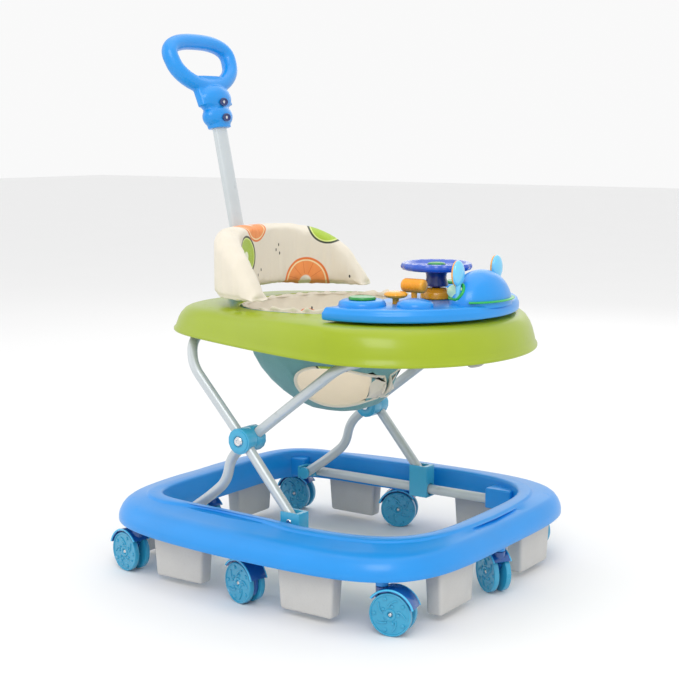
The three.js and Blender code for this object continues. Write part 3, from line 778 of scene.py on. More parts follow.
class WALKER_OT_brake_pads(WalkerOperator):
    """Grey brake pads under the rim of the base"""

    bl_idname = "walker.brake_pads"
    bl_label = "Brake pads"

    def build(self, colours, sizes):
        grey = rubbery("pad_rubber", "pad_grey", colours.pad)
        master = self.pad()
        for name, (x, y, turn) in PADS.items():
            move = Matrix.Translation(Vector((x * MM + DRAWING_SHIFT, y * MM, 0)))
            copied = again(master, f"pad_{name}", move @ Matrix.Rotation(radians(turn), 4, "Z"))
            fit(copied, "base", grey, f"brake_pad_{name}", angle=50)
        bpy.data.objects.remove(master)

    def pad(self):
        """The pad at the origin, its outer face towards -Y, with two slots near its top."""
        pad = brick((0, 0, PAD["z"] * MM), (PAD["long"], PAD["deep"], PAD["high"]))
        for vertex in pad.data.vertices:
            if vertex.co.z < PAD["z"] * MM:
                vertex.co.x *= PAD["taper"]
                vertex.co.y *= PAD["taper"]
        round_edges(pad, PAD["round"], 4)
        for x in (-PAD_SLOT["x"], PAD_SLOT["x"]):
            self.cut(pad, x)
        return pad

    def cut(self, pad, x):
        """Takes a slot out of the pad's outer face."""
        size = (PAD_SLOT["long"], PAD_SLOT["deep"], PAD_SLOT["high"])
        cutter = brick((x * MM, -13 * MM, PAD_SLOT["z"] * MM), size)
        apply_modifier(pad, "BOOLEAN", object=cutter, operation="DIFFERENCE")
        bpy.data.objects.remove(cutter)


class WALKER_OT_frame(WalkerOperator):
    """Rails and the two crossed legs"""

    bl_idname = "walker.frame"
    bl_label = "Rails and legs"

    def build(self, colours, sizes):
        enamel = enamelled("tube_enamel", "painted_tube", colours.tube)
        for name, side in SIDES.items():
            ends = [Vector((x, RAIL["y"] * side, RAIL["z"])) for x in (RAIL["start"], RAIL["end"])]
            rail = sweep(f"rail_{name}", ends, round_bar(TUBE_RADIUS))
            fit(rail, "base", enamel, f"base_rail_{name}")
        rear = self.leg([(-195, 90), (-148, 122), (-112, 152), (-104, 190), CROSS, (100, 351)],
                        [INNER_LEG_Y] * 6)
        fit(sweep("rear_leg", rear, round_bar(TUBE_RADIUS)), "rear_leg", enamel, "rear_leg_tube")
        front = self.leg([(30, 116), CROSS, (-162, 332), (-182, 360), (-184, 378)],
                         [OUTER_LEG_Y] * 3 + [160, 140])
        fit(sweep("front_leg", front, round_bar(TUBE_RADIUS)), "front_leg", enamel,
            "front_leg_tube")

    def leg(self, profile, widths):
        """The path of a U-shaped leg, from its left half."""
        left = [(x, wide, z) for (x, z), wide in zip(profile, widths)]
        right = [(x, -wide, z) for x, wide, z in reversed(left)]
        return bent_path(left + right, LEG_BEND)


class WALKER_OT_fittings(WalkerOperator):
    """Clamps, shoes and covers where the tubes meet, with their screws"""

    bl_idname = "walker.fittings"
    bl_label = "Clamps and covers"

    def build(self, colours, sizes):
        cyan = moulded("bracket_plastic", "cyan", colours.bracket, 0.3, 0.4)
        grey = rubbery("saddle_plastic", "pad_grey", colours.pad)
        steel = plated("screw_steel", "screw_steel")
        edge = sizes.edge / MM
        for name, side in SIDES.items():
            clamp = recast(f"rear_foot_clamp_{name}", f"foot_clamp_{name}", edge, 3)
            fit(clamp, "base", cyan, f"rear_foot_clamp_{name}")
            shoe = recast(f"slider_bracket_{name}", f"sliding_shoe_{name}", edge, 3)
            fit(shoe, "foot_slider", cyan, f"slider_bracket_{name}")
            self.cover(name, side, "outer", "front_leg", cyan, edge)
            self.cover(name, side, "inner", "rear_leg", cyan, edge)
            saddle = recast(f"tray_hinge_{name}", f"saddle_{name}", edge, 2)
            fit(saddle, "tray", grey, f"tray_hinge_{name}")
            self.screws(name, side, steel)
        rack = recast("height_rack", "rack", edge, 2)
        fit(rack, "tray", grey, "height_rack")

    def cover(self, name, side, part, body, cyan, edge):
        """A round cover with a raised ring on its face."""
        node = f"cross_cover_{part}_{name}"
        cover = recast(node, f"{part}_cover_{name}", edge * 2, 3)
        out = side if part == "outer" else -side
        face = CROSS_Y * side + out * 20.6
        ring = [(9, 0), (9, 1.6 * out), (11, 2.2 * out), (15, 2.2 * out), (17, 1.6 * out), (17, 0)]
        bead = lathe("bead", ring + ring[:1], (CROSS[0], face, CROSS[1]), "Y")
        fit(joined(f"{part}_cover_{name}", cover, bead), body, cyan, node)

    def screws(self, name, side, steel):
        """The crossing's screw and the two small screws of the sliding shoe."""
        head = [(0, 21.2), (7.5, 21.2), (7.5, 22.6), (6.2, 24), (3.4, 24), (2.6, 22.8), (0, 22.8)]
        stem = [(0, -24.5), (6.4, -24.5), (6.4, -21.4), (4, -21.4), (4, 21.2)]
        profile = [(r, d * side) for r, d in stem + head[1:]]
        middle = (CROSS[0], CROSS_Y * side, CROSS[1])
        screw = lathe(f"cross_screw_{name}", profile, middle, "Y", 32)
        fit(screw, "front_leg", steel, f"pivot_screw_{name}")
        small = [(0, 12.2), (4.6, 12.2), (4.6, 13.4), (3.6, 14.4), (0, 14.6)]
        for k, (x, z) in enumerate(((30, 116), (24, 85))):
            middle = (x, RAIL["y"] * side, z)
            profile = [(r, d * side) for r, d in small]
            rivet = lathe(f"shoe_screw_{name}_{k}", profile, middle, "Y", 24)
            fit(rivet, "foot_slider", steel)


TRAY_ROWS = [
    (1, 2.4, 0), (1, 3, 0.6), (1, 3, 3.4), (1, 2.4, 4.4), (1, 0.2, 6), (1, -1.6, 13),
    (1, -5, 24), (1, -9.4, 33), (1, -16, 41.5), (1, -23, 46), (1, -32, 48.8), (0, 24, 51.6),
    (0, 12, 52), (0, 6, 53), (0, 3, 53.2), (0, 1, 52.4), (0, 0, 50), (0, 0, 32), (0, 0, 14),
    (0, 3, 14), (0, 3, 47), (0, 20, 48.6), (1, -33, 45.6), (1, -18, 38.5), (1, -8, 22),
    (1, -3, 5), (1, -3, 0),
]


class WALKER_OT_tray(WalkerOperator):
    """Tray ring with its bright lip and the catch under its front"""

    bl_idname = "walker.tray"
    bl_label = "Tray ring"

    def build(self, colours, sizes):
        lime = moulded("tray_plastic", "lime", colours.tray, 0.34, 0.22)
        # The catch is a darker copy of the pad grey: painted shade under the tray's front.
        grey = rubbery("catch_painted_shade", "pad_grey", tint(colours.pad, 0.8))

        def height(x, z):
            lip = 370 - 0.028 * x
            return lip + z * (420 - lip) / 52 if z > 6 else lip + z

        ring = loft("tray_ring", 240, TRAY_ROWS, between(tray_inner, tray_outer, height), True)
        fit(ring, "tray", lime, "tray_shell", angle=50)
        profile = [(0, 0), (5, 0), (7, 2), (7, 8), (5, 11), (0, 11)]
        catch = lathe("front_catch", profile, (262, -50, 352), "Z", 32, (1.0, 3.0))
        fit(catch, "tray", grey)


SEAT_ROWS = [
    (0, 254, 0), (10, 254, 0), (22, 254.6, 0), (36, 256.6, -1.5), (52, 262, -4), (68, 273, -9),
    (82, 288, -14), (94, 305, -19.5), (104, 324, -24), (111, 344, -27.5), (116, 366, -30),
    (120, 384, -31), (123, 402, -32), (124, 414, -32), (124, 421, -32),
]


def seat_point(row, turn):
    """A point of the seat's bowl, lightly gathered towards its rim."""
    scale, z, shift = row
    gather = 1.1 * ease(z, 300, 420) * sin(22 * turn) + 0.7 * sin(9 * turn + z / 23)
    reach = scale + gather * min(1, scale / 60)
    x = reach * power(cos(turn), 2.3) + shift
    return world(x, 1.175 * reach * power(sin(turn), 2.3), z)


def hole_point(side, turn, out=0.0):
    """A point on the edge of a leg hole, on the seat's bowl."""
    x = LEG_HOLE["x"] + LEG_HOLE["long"] * cos(turn)
    z = LEG_HOLE["z"] + LEG_HOLE["high"] * sin(turn)
    rows = [row for row in SEAT_ROWS if row[1] >= 254.5]
    for low, high in zip(rows, rows[1:]):
        if low[1] <= z <= high[1]:
            share = (z - low[1]) / (high[1] - low[1])
            scale = low[0] + (high[0] - low[0]) * share - out
            shift = low[2] + (high[2] - low[2]) * share
            flat = min(0.999, abs((x - shift) / scale))
            return Vector((x, side * 1.175 * scale * (1 - flat ** 2.3) ** (1 / 2.3), z))
    raise ValueError("a leg hole reaches past the seat")


class WALKER_OT_seat(WalkerOperator):
    """Hanging cloth seat with bound leg holes and a gathered edge"""

    bl_idname = "walker.seat"
    bl_label = "Seat"

    def build(self, colours, sizes):
        canvas = plain_canvas("seat_canvas", colours.canvas, sizes.thread)
        pips = [(a, z) for a in range(-150, 180, 24) for z in (330 + a % 5 * 14, 396 - a % 7 * 6)]
        slices = [("kiwi", 128, 352, 30), ("kiwi", -128, 352, 30), ("orange", 38, 372, 24)]
        lining = printed_cloth("lining_print", colours.cloth, sizes.thread, SEAT_CENTRE, 125,
                               slices, pips)
        tub = loft("seat_cloth", 160, SEAT_ROWS, seat_point)
        self.open_legs(tub)
        dress(tub, canvas, 60)
        tub.data.materials.append(lining.material)
        apply_modifier(tub, "SOLIDIFY", thickness=sizes.cloth_wall, offset=-1, material_offset=1,
                       material_offset_rim=1)
        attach(tub, "tray")
        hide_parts("seat_fabric")
        bindings = [self.binding(name, side, lining, sizes) for name, side in SIDES.items()]
        ruffle = self.ruffle(lining, sizes)

    def open_legs(self, tub):
        """Cuts the leg holes and draws their edges onto an oval."""
        mesh = bmesh.new()
        mesh.from_mesh(tub.data)

        def reach(co):
            x = (co.x - DRAWING_SHIFT) / MM - LEG_HOLE["x"]
            z = co.z / MM - LEG_HOLE["z"]
            return sqrt((x / LEG_HOLE["long"]) ** 2 + (z / LEG_HOLE["high"]) ** 2)

        gone = [face for face in mesh.faces if reach(face.calc_center_median()) < 0.98
                and abs(face.calc_center_median().y) > 40 * MM]
        bmesh.ops.delete(mesh, geom=gone, context="FACES")
        for vertex in mesh.verts:
            if vertex.is_boundary and vertex.co.z < 0.4:
                side = 1 if vertex.co.y > 0 else -1
                x = (vertex.co.x - DRAWING_SHIFT) / MM - LEG_HOLE["x"]
                z = vertex.co.z / MM - LEG_HOLE["z"]
                turn = atan2(z / LEG_HOLE["high"], x / LEG_HOLE["long"])
                vertex.co = world(*hole_point(side, turn))
        mesh.to_mesh(tub.data)
        mesh.free()

    def binding(self, name, side, lining, sizes):
        """The padded edge round a leg hole."""
        path = [hole_point(side, 2 * pi * k / 72, 1.4) for k in range(72)]
        rope = sweep(f"leg_binding_{name}", path, round_bar(sizes.hem / MM), 14, looped=True)
        return fit(rope, "tray", lining, angle=60)

    def ruffle(self, lining, sizes):
        """The gathered edge of the lining, standing up inside the tray's opening."""
        tall = sizes.ruffle / MM

        def place(row, turn):
            rise, out = row
            wave = sin(31 * turn) + 0.5 * sin(47 * turn + 1)
            front = ease(cos(turn), -0.35, 0.1)
            reach = 121 + out + 1.7 * wave * rise
            x = reach * power(cos(turn), 2.3) - 32
            high = 418 + (0.42 + 0.58 * front) * (tall + 2 * wave) * rise
            return world(x, 1.175 * reach * power(sin(turn), 2.3), high)

        rows = [(0, -0.7), (0.3, -0.9), (0.6, -0.4), (0.9, 0.2), (1, 1), (0.9, 1.8), (0.6, 1.3),
                (0.3, 0.8), (0, 0.7)]
        frill = loft("seat_ruffle", 360, rows, place, closed=True)
        return fit(frill, "tray", lining, angle=70)


class WALKER_OT_backrest(WalkerOperator):
    """Padded backrest in printed cloth, blown up as a cushion"""

    bl_idname = "walker.backrest"
    bl_label = "Backrest"

    def build(self, colours, sizes):
        slices = [("orange", 45, 441, 40), ("orange", -9, 546, 34), ("kiwi", -26, 490, 34),
                  ("kiwi", 62, 537, 34), ("orange", 118, 540, 30), ("kiwi", -110, 455, 26)]
        pips = [(17, 496), (20, 504), (21, 490), (-36, 481), (79, 449), (-3, 466), (-7, 458),
                (100, 486), (98, 478), (-90, 500), (-93, 508), (150, 500), (-150, 480)]
        cloth = printed_cloth("cushion_print", colours.cloth, sizes.thread, PAD_CENTRE, 130,
                              slices, pips)
        pad = recast("backrest_pad", "back_cushion", 6, 3)
        self.shrink(pad)
        self.inflate(pad, sizes)
        self.crease(pad)
        fit(pad, "tray", cloth, "backrest_pad", angle=70)

    def shrink(self, pad):
        """Draws the cover in a little, since it swells."""
        for vertex, normal in zip(pad.data.vertices, [v.normal.copy() for v in pad.data.vertices]):
            vertex.co -= normal * 2.2 * MM

    def inflate(self, pad, sizes):
        """Remeshes the cushion, fills it by cloth simulation and caps how far it swells."""
        only(pad)
        pad.data.remesh_voxel_size = sizes.voxel
        bpy.ops.object.voxel_remesh()
        rest = [vertex.co.copy() for vertex in pad.data.vertices]
        cloth = pad.modifiers.new("fill", "CLOTH")
        cloth.settings.use_pressure = True
        cloth.settings.uniform_pressure_force = FILL_PRESSURE
        cloth.settings.effector_weights.gravity = 0
        for step in range(1, FILL_STEPS + 1):
            bpy.context.scene.frame_set(step)
        shown = pad.evaluated_get(bpy.context.evaluated_depsgraph_get())
        blown = [vertex.co.copy() for vertex in shown.data.vertices]
        pad.modifiers.remove(cloth)
        bpy.context.scene.frame_set(1)
        for vertex, start, end in zip(pad.data.vertices, rest, blown):
            moved = end - start
            limit = sizes.puff / (1 + moved.length / sizes.puff)
            vertex.co = start + moved * min(1, limit / max(moved.length, 1e-6))
        apply_modifier(pad, "SMOOTH", factor=0.5, iterations=4)
        apply_modifier(pad, "SUBSURF", levels=1, render_levels=1)

    def crease(self, pad):
        """Faint upright wrinkles and a pulled-in seam near the lower edge."""
        pad.data.update()
        normals = [vertex.normal.copy() for vertex in pad.data.vertices]
        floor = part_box("backrest_pad")[0][2]
        for vertex, normal in zip(pad.data.vertices, normals):
            x, y, z = vertex.co
            turn = atan2(y, PAD_CENTRE * MM + DRAWING_SHIFT - x)
            low = 1 - ease(z, 0.445, 0.53)
            pull = (sin(41 * turn) + 0.6 * sin(67 * turn + 2)) * (0.25 + 0.55 * low)
            seam = 1.6 * max(0, 1 - abs(z - 0.4385) / 0.0035)
            vertex.co -= normal * (pull * 0.45 + seam) * MM
            vertex.co.z = max(vertex.co.z, floor + 0.2 * MM)
        pad.data.update()


def post_at(z):
    """A point on the leaning part of the push tube."""
    return Vector((POST_X - tan(POST_LEAN) * (z - POST_BEND), 0, z))


class WALKER_OT_handle(WalkerOperator):
    """Push tube, its socket and button, and the looped grip"""

    bl_idname = "walker.handle"
    bl_label = "Push handle"

    def build(self, colours, sizes):
        shell = moulded("grip_plastic", "sky_blue", colours.shell, 0.34, 0.25)
        # The push tube's paint is a slightly lighter copy of the tube paint: painted light.
        enamel = enamelled("push_enamel_painted_light", "painted_tube", tint(colours.tube, 1.04))
        # The screw recesses get a darker copy of the column colour: painted shade.
        dark = moulded("recess_painted_shade", "royal_blue", tint(colours.column, 0.7), 0.4, 0.2)
        steel = plated("grip_steel", "screw_steel")
        yellow = moulded("button_plastic", "yellow", colours.yellow, 0.28, 0.4)
        path = bent_path([(POST_X, 0, 386.5), post_at(POST_BEND), post_at(734)], 22)
        tube = sweep("push_post", path, flat_oval(15, 7.5), 40)
        fit(tube, "push_handle", enamel, "push_tube")
        socket = recast("handle_socket", "post_socket", sizes.edge / MM, 3)
        fit(socket, "tray", shell, "handle_socket")
        profile = [(0, -14), (6, -14), (7, -15), (7, -18.6), (6.2, -20), (0, -20.4)]
        button = lathe("post_button", profile, (POST_X, 0, 437), "X", 32)
        fit(button, "release_button", yellow, "handle_release_button")
        fit(self.grip(), "push_handle", shell, "handle_grip", angle=80)
        for k, z in enumerate((712, 737)):
            self.recess(k, z, dark, steel)

    def grip(self):
        """Lobed block and loop, run together and smoothed as one moulding."""
        foot = post_at(730)

        def at(across, up):
            return Vector((foot.x - sin(LOOP_LEAN) * up, across, foot.z + cos(LOOP_LEAN) * up))

        loop = []
        for k in range(96):
            turn = 2 * pi * k / 96 - pi / 2
            narrow = 0.86 + 0.2 * sin(turn) - 0.06 * sin(turn) ** 2
            across = 83 * narrow * power(cos(turn), 2.5)
            loop.append(at(across, 74 + 39.5 * power(sin(turn), 2.5)))
        parts = [sweep("loop", loop, round_bar(13), 32, looped=True)]
        rounded = [(sin(pi * k / 24), -cos(pi * k / 24)) for k in range(25)]
        for z, wide, high in ((713, 32, 21), (741, 37, 24)):
            lobe = [(r, h * high) for r, h in rounded]
            point = post_at(z)
            parts.append(lathe("lobe", lobe, point, "Z", 48, (19, wide)))
        neck = [at(0, 0), at(0, 50)]
        parts.append(sweep("neck", neck, lambda t: (38 * power(cos(t), 4), 10 * power(sin(t), 4)), 48))
        stem = [post_at(694), post_at(742)]
        parts.append(sweep("stem", stem, flat_oval(22, 14), 40))
        block = joined("push_grip", *parts)
        only(block)
        block.data.remesh_voxel_size = GRIP_VOXEL * MM
        bpy.ops.object.voxel_remesh()
        apply_modifier(block, "SMOOTH", factor=0.5, iterations=8)
        return block

    def recess(self, k, z, dark, steel):
        """An oval screw recess on the front of the block: a low disc whose dark colour is painted
        shade.
        """
        point = post_at(z)
        centre = (point.x + 17.6, 0, point.z)
        rim = [(0, 0), (6.6, 0), (8.2, 1.4), (7.4, 2.2), (5.4, 1.2), (0, 0.9)]
        well = lathe(f"grip_recess_{k}", rim, centre, "X", 40, (0.8, 1.3))
        fit(well, "push_handle", dark)
        head = [(0, 0.9), (2.6, 0.9), (2.6, 1.8), (1.6, 2.4), (0, 2.4)]
        fit(lathe(f"grip_screw_{k}", head, centre, "X", 24), "push_handle", steel)


class WALKER_OT_play_tray(WalkerOperator):
    """Play tray with its mounds, hood and window"""

    bl_idname = "walker.play_tray"
    bl_label = "Play tray"

    def build(self, colours, sizes):
        shell = moulded("toy_plastic", "sky_blue", colours.shell, 0.32, 0.25)
        green = moulded("window_plastic", "green", tint(colours.green, 1.5), 0.3, 0.3)
        pale = moulded("pane_plastic", "mirror_blue", paint("#BFE3C0"), 0.2, 0.4)

        def place(row, turn):
            drawn, z = row
            x, y = play_outline(turn)
            return world(x + (COLUMN[0] - x) * drawn, y * (1 - drawn), z)

        rows = [(1, 421), (0.4, 421), (0.05, 421), (0.015, 421.4), (0.004, 422.6), (0, 425),
                (0, 431), (0.003, 433), (0.011, 434.2), (0.016, 436), (0.024, 438.4),
                (0.038, 439.8), (0.06, 440), (0.4, 440), (1, 440)]
        deck = loft("deck", 200, rows, place)
        parts = [deck]
        for side in SIDES.values():
            for (x, y), wide in ((BIG_MOUND, 35), (SMALL_MOUND, 27)):
                crown = 12.6 if wide == 35 else 15.6
                hill = [(wide + 2, 3.2), (wide, 4.2), (wide - 0.4, 7.4), (wide - 2, 10.6),
                        (wide - 6, 12.8), (wide * 0.4, crown), (0, crown)]
                parts.append(lathe("mound", hill, (x, y * side, 436), "Z", 64))
        dome = [(sin(pi * k / 32), cos(pi * k / 32) * HOOD["tall"]) for k in range(16, -1, -1)]
        middle = (HOOD["x"], 0, HOOD["z"])
        parts.append(lathe("dome", dome, middle, "Z", 96, (HOOD["long"], HOOD["wide"])))
        tray = joined("play_deck", *parts)
        fit(tray, "play_tray", shell, "play_tray", angle=40)
        self.trim(green, pale, middle)

    def trim(self, green, pale, middle):
        """Window frames on the hood's sides and a strip along its front."""
        def skin(high, across, grow=1.0):
            turn = radians(across)
            rise = sqrt(1 - (high / HOOD["tall"]) ** 2)
            return Vector((middle[0] + grow * HOOD["long"] * rise * cos(turn),
                           grow * HOOD["wide"] * rise * sin(turn), middle[2] + high))

        for name, side in SIDES.items():
            corners = [(12, 128), (12, 96), (24, 84), (34, 92), (34, 126), (22, 136)]
            path = [skin(h, a * side, 1.01) for h, a in corners]
            smooth = bent_path(path + path[:1], 7, 5)[:-1]
            frame_bar = sweep(f"window_frame_{name}", smooth, round_bar(2.4), 12, looped=True)
            fit(frame_bar, "play_tray", green)
            centre = skin(23, 110 * side, 0.985)
            inner = [(0, 0), (9.6, 0), (11, 1), (9.6, 2.4), (0, 3.4)]
            profile = [(r, d * side) for r, d in inner]
            pane = lathe(f"window_pane_{name}", profile, centre, "Y", 40, (1.25, 0.95))
            fit(pane, "play_tray", pale)
        path = [skin(9, a, 1.0) for a in range(-70, 71, 5)]
        strip = sweep("hood_strip", path, flat_oval(5, 1.6), 20)
        fit(strip, "play_tray", green)


class WALKER_OT_toys(WalkerOperator):
    """Steering wheel, drum, knob, buttons and mirrors"""

    bl_idname = "walker.toys"
    bl_label = "Toys"

    def build(self, colours, sizes):
        royal = moulded("steering_plastic", "royal_blue", colours.steering, 0.22, 0.6)
        navy = moulded("column_plastic", "royal_blue", colours.column, 0.3, 0.4)
        yellow = moulded("yellow_plastic", "yellow", colours.yellow, 0.26, 0.5)
        green = moulded("green_plastic", "green", colours.green, 0.3, 0.35)
        silver = moulded("mirror_plastic", "mirror_blue", colours.mirror, 0.12, 0.8)
        self.steering(royal, navy, yellow, green)
        self.small_toys(yellow)
        for name, side in SIDES.items():
            self.button(name, side, green)
            self.mirror(name, side, silver, yellow)

    def steering(self, royal, navy, yellow, green):
        """The base ring, the waisted column and the dished wheel with its badge."""
        ring = [(7, 440.4), (22.8, 440.4), (24, 441.6), (24, 447.6), (22.6, 450.6), (19, 454.8),
                (15, 456.6), (7, 457)]
        base = lathe("column_base", ring + ring[:1], (*COLUMN, 0), stations=64)
        fit(base, "play_tray", yellow, "steering_base")
        stem = [(0, 431), (5.2, 431), (5.2, 458.8), (16.6, 459), (18, 460.6), (17.4, 464),
                (15.2, 471), (15.6, 477), (18.6, 482), (22, 483.6), (0, 485)]
        column = lathe("column", stem, (*COLUMN, 0), stations=64)
        fit(column, "steering_wheel", navy)
        dish = [(0, 482), (20, 482.4), (34, 483.6), (42, 484.2), (47, 483.2), (51, 484.4),
                (53.6, 487.6), (53.8, 490.6), (52, 493.8), (48.4, 495.2), (45, 494.2),
                (42.4, 491.6), (38, 489.4), (28, 488.6), (20, 489.6), (17, 491.4), (14.6, 491.6),
                (14.2, 488.6), (0, 488.2)]
        wheel = lathe("steering_rim", dish, (*COLUMN, 0), stations=120)
        flute(wheel, COLUMN, lambda wide, angle, z: 0.012 * cos(STEERING_NOTCHES * angle)
              * max(0, wide - 44) / 10)
        fit(wheel, "steering_wheel", royal, "steering_wheel")
        face = [(0, 489), (12.8, 489), (13.4, 489.8), (13.4, 492.6), (12.2, 494), (8.4, 494.8),
                (7.4, 494.2), (4, 494.6), (0, 495.6)]
        fit(lathe("badge", face, (*COLUMN, 0), stations=48), "horn_badge", green, "wheel_badge")

    def small_toys(self, yellow):
        """The drum lever and the turning knob, each with its ribs."""
        drum = [(0, -19), (7, -19), (9, -18), (10.4, -15.6)]
        for k in range(-5, 6):
            drum += [(10.5, k * 2.6 - 0.8), (9.7, k * 2.6), (10.5, k * 2.6 + 0.8)]
        drum += [(10.4, 15.6), (9, 18), (7, 19), (0, 19)]
        head = lathe("drum_head", drum, (*DRUM, 464), "X", 48)
        stalk = lathe("stalk", [(0, 430), (5, 430), (4.4, 446), (4.6, 457), (0, 458)],
                      (*DRUM, 0), stations=32)
        fit(joined("drum", head, stalk), "drum_lever", yellow, "drum_lever")
        cap = [(0, 430), (4.8, 430), (4.8, 447), (7, 448), (14, 449.4), (16.6, 451),
               (17.5, 453.2), (16.6, 455.6), (14, 457.4), (8, 458.6), (0, 459)]
        knob = lathe("knob", cap, (*KNOB, 0), stations=72)
        flute(knob, KNOB, lambda wide, angle, z: 0.02 * (cos(KNOB_RIDGES * angle) - 1)
              * (450 < z < 457))
        fit(knob, "turn_knob", yellow, "turn_knob")

    def button(self, name, side, green):
        """A flat round button with a dished face."""
        profile = [(0, 432.6), (6.2, 432.6), (6.2, 449), (19.2, 449), (20, 449.8), (20, 451.6),
                   (19, 453), (16.6, 453.6), (15, 453), (8, 453.4), (0, 454.4)]
        disc = lathe(f"button_{name}", profile, (BIG_MOUND[0], BIG_MOUND[1] * side, 0),
                     stations=64)
        fit(disc, f"round_button_{name}", green, f"round_button_{name}")

    def mirror(self, name, side, silver, yellow):
        """A toy wing mirror: a rounded shell, a yellow rim and a stalk."""
        middle = (MIRROR["x"], MIRROR["y"] * side, MIRROR["z"])
        ball = [(sin(pi * k / 24), -cos(pi * k / 24) * 7) for k in range(25)]
        shell = lathe("shell", ball, middle, "X", 56, (19, 14.5))
        stalk = lathe("stalk", [(0, 446), (4.6, 446), (3.4, 458), (4.2, 470), (0, 472)],
                      (middle[0], middle[1], 0), stations=32)
        body = joined(f"mirror_{name}", shell, stalk)
        fit(body, f"mirror_{name}", silver, f"wing_mirror_{name}", angle=60)
        rim = []
        for k in range(60):
            turn = 2 * pi * k / 60
            rim.append(Vector(middle) + Vector((-2.2, 13.4 * cos(turn), 17.6 * sin(turn))))
        bead = sweep(f"mirror_rim_{name}", rim, round_bar(1.5), 12, looped=True)
        fit(bead, f"mirror_{name}", yellow)


class WALKER_OT_casters(WalkerOperator):
    """Twin-disc casters with raised discs, hoods and rolled trims"""

    bl_idname = "walker.casters"
    bl_label = "Casters"

    def build(self, colours, sizes):
        deep = moulded("hood_plastic", "deep_blue", colours.fork, 0.2, 0.6)
        cyan = moulded("disc_plastic", "cyan", colours.wheel, 0.28, 0.45)
        # The rolled edges are real, but their colour is a lighter copy of the bracket plastic, a
        # painted highlight along the hood's edges.
        light = moulded("trim_painted_highlight", "cyan", tint(colours.bracket, 1.3), 0.25, 0.5)
        steel = plated("axle_steel", "screw_steel")
        home = Matrix.Translation(world(0, 0, 0)).inverted()
        wheel, trim, cap = self.wheel(), self.trim(), self.cap()
        for name in CORNERS:
            move = caster_place(name) @ home
            fork = recast(f"caster_fork_{name}", f"hood_{name}", sizes.edge / MM, 2)
            fit(fork, f"caster_{name}", deep, f"caster_fork_{name}")
            fit(again(trim, f"hood_trim_{name}", move), f"caster_{name}", light)
            disc = again(wheel, f"disc_{name}", move)
            fit(disc, f"wheel_{name}", cyan, f"caster_wheel_{name}")
            fit(again(cap, f"axle_{name}", move), f"wheel_{name}", steel)
        for master in (wheel, trim, cap):
            bpy.data.objects.remove(master)

    def wheel(self):
        """Two discs on one hub, each with a ridge and raised drops, arcs and studs."""
        half = [(4, 5.8), (29.6, 5.9), (30.6, 6.4), (31, 7.4), (31, 12.6), (30.6, 13.9),
                (29.4, 14.6), (28.4, 14.4), (27.6, 13), (9, 13), (8.2, 14.2), (5.8, 14.8), (4.4, 13.8),
                (3.4, 11.4), (0, 11.4)]
        other = [(r, -w) for r, w in reversed(half)]
        centre = (-TRAIL, 0, AXLE)
        parts = [lathe("twin", other + half, centre, "Y", 72)]
        for side in SIDES.values():
            for k in range(STUDS_PER_DISC):
                parts += self.relief(centre, side, 2 * pi * k / STUDS_PER_DISC)
        return joined("wheel_master", *parts)

    def relief(self, centre, side, turn):
        """One raised stud, drop and arc between the ridges of a disc."""
        def on_disc(radius, angle, out=13.2):
            x = centre[0] + radius * cos(angle)
            return Vector((x, out * side, centre[2] + radius * sin(angle)))

        rounded = ((0, -1), (2.9, -1), (2.9, 0.6), (2.3, 1.4), (1.2, 1.8), (0, 1.9))
        dome = [(r, d * side) for r, d in rounded]
        stud = lathe("stud", dome, on_disc(23.4, turn), "Y", 20)
        drop = lathe("drop", dome, on_disc(12.6, turn + 0.6), "Y", 20, (0.85, 0.85))
        path = [on_disc(11.4 + 12 * k / 9, turn + 0.1 + 0.075 * k) for k in range(10)]
        return [stud, drop, sweep("arc", path, round_bar(1.5), 10)]

    def trim(self):
        """The rolled edges of the hood, along both discs."""
        parts = []
        for side in SIDES.values():
            path = []
            for k in range(29):
                angle = radians(37 + 126 * k / 28)
                path.append(Vector((-TRAIL + 35.3 * cos(angle), 14.4 * side,
                                    AXLE + 35.3 * sin(angle))))
            parts.append(sweep("roll", path, round_bar(1.5), 12))
        return joined("trim_master", *parts)

    def cap(self):
        """The axle screws in the middle of the discs."""
        head = [(0, 11.2), (2.9, 11.2), (2.9, 12.6), (2.1, 13.4), (0.8, 13.5), (0.6, 12.8), (0, 12.8)]
        centre = (-TRAIL, 0, AXLE)
        parts = [lathe("screw", [(r, d * side) for r, d in head], centre, "Y", 24)
                 for side in SIDES.values()]
        return joined("cap_master", *parts)


AIM = Vector((0.0168, -0.019, 0.366))
CAMERA = {"azimuth": radians(34.59), "elevation": radians(8.31), "distance": 2.2314, "lens": 75.4}
LIGHTS = {
    "key": ((1.4, -2.2, 2.6), 30, 1.6),
    "fill": ((-2.6, -1.4, 1.6), 8, 2.4),
    "top": ((0.0, 0.3, 3.2), 16, 3.0),
    "rim": ((-0.8, 2.6, 1.8), 8, 2.0),
}


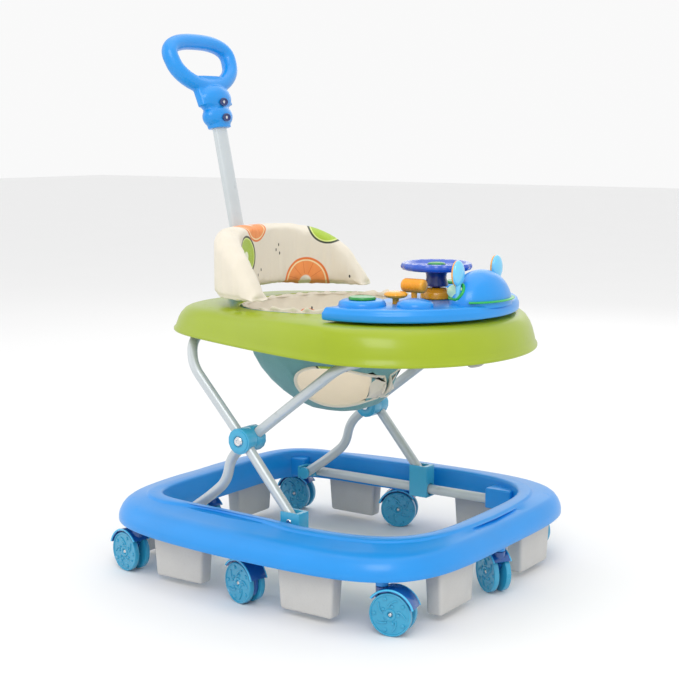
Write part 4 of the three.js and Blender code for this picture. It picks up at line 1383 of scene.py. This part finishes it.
class WALKER_OT_stage(WalkerOperator):
    """Camera, soft lights and a plain floor"""

    bl_idname = "walker.stage"
    bl_label = "Stage"

    def build(self, colours, sizes):
        self.camera()
        for name, (spot, power_watts, size) in LIGHTS.items():
            self.light(name, Vector(spot), power_watts, size)
        world_light = bpy.data.worlds.new("studio")
        bpy.context.scene.world = world_light
        bpy.context.scene.view_settings.view_transform = "Standard"
        world_light.use_nodes = True
        background = world_light.node_tree.nodes["Background"]
        background.inputs["Color"].default_value = (1, 1, 1, 1)
        background.inputs["Strength"].default_value = 0.95
        bpy.ops.object.select_all(action="DESELECT")
        bpy.ops.mesh.primitive_plane_add(size=30)
        floor = bpy.context.object
        floor.name = "floor"
        bpy.ops.object.mode_set(mode="EDIT")
        bpy.ops.mesh.subdivide(number_cuts=4)
        bpy.ops.object.mode_set(mode="OBJECT")
        paper = Finish("floor_paper", None, 0.8)
        clouding = paper.cloud(3)
        paper.set(Base_Color=paper.mix(clouding, tint(colours.floor, 0.985), colours.floor))
        dress(floor, paper)

    def camera(self):
        """The camera, looking at the walker's middle."""
        turn, rise = CAMERA["azimuth"], CAMERA["elevation"]
        away = Vector((sin(turn) * cos(rise), -cos(turn) * cos(rise), sin(rise)))
        data = bpy.data.cameras.new("camera")
        data.lens = CAMERA["lens"]
        data.sensor_width = 36
        camera = bpy.data.objects.new("camera", data)
        bpy.context.scene.collection.objects.link(camera)
        camera.location = AIM + away * CAMERA["distance"]
        camera.rotation_euler = (-away).to_track_quat("-Z", "Y").to_euler()
        bpy.context.scene.camera = camera

    def light(self, name, spot, watts, size):
        """A soft square light turned towards the walker."""
        data = bpy.data.lights.new(name, "AREA")
        data.energy = watts
        data.size = size
        lamp = bpy.data.objects.new(name, data)
        bpy.context.scene.collection.objects.link(lamp)
        lamp.location = spot
        lamp.rotation_euler = (AIM - spot).to_track_quat("-Z", "Y").to_euler()


STEPS = (
    WALKER_OT_stage,
    WALKER_OT_base,
    WALKER_OT_brake_pads,
    WALKER_OT_frame,
    WALKER_OT_fittings,
    WALKER_OT_tray,
    WALKER_OT_seat,
    WALKER_OT_backrest,
    WALKER_OT_handle,
    WALKER_OT_play_tray,
    WALKER_OT_toys,
    WALKER_OT_casters,
)


class WALKER_PT_steps(bpy.types.Panel):
    """The walker's steps, in the 3D view's sidebar."""

    bl_label = "Folding baby walker"
    bl_idname = "WALKER_PT_steps"
    bl_space_type = "VIEW_3D"
    bl_region_type = "UI"
    bl_category = "Walker"

    def draw(self, context):
        for group in (context.scene.walker_colours, context.scene.walker_sizes):
            for key in group.__annotations__:
                self.layout.prop(group, key)
        for step in STEPS:
            self.layout.operator(step.bl_idname)


CLASSES = (WalkerColours, WalkerSizes, *STEPS, WALKER_PT_steps)


def register():
    """Adds the classes and the scene's settings."""
    for each in CLASSES:
        bpy.utils.register_class(each)
    bpy.types.Scene.walker_colours = bpy.props.PointerProperty(type=WalkerColours)
    bpy.types.Scene.walker_sizes = bpy.props.PointerProperty(type=WalkerSizes)


def unregister():
    """Takes the classes and the scene's settings away."""
    del bpy.types.Scene.walker_sizes
    del bpy.types.Scene.walker_colours
    for each in reversed(CLASSES):
        bpy.utils.unregister_class(each)


def main():
    """Builds every piece in order."""
    register()
    for step in STEPS:
        group, name = step.bl_idname.split(".")
        getattr(getattr(bpy.ops, group), name)()


if __name__ == "__main__":
    main()
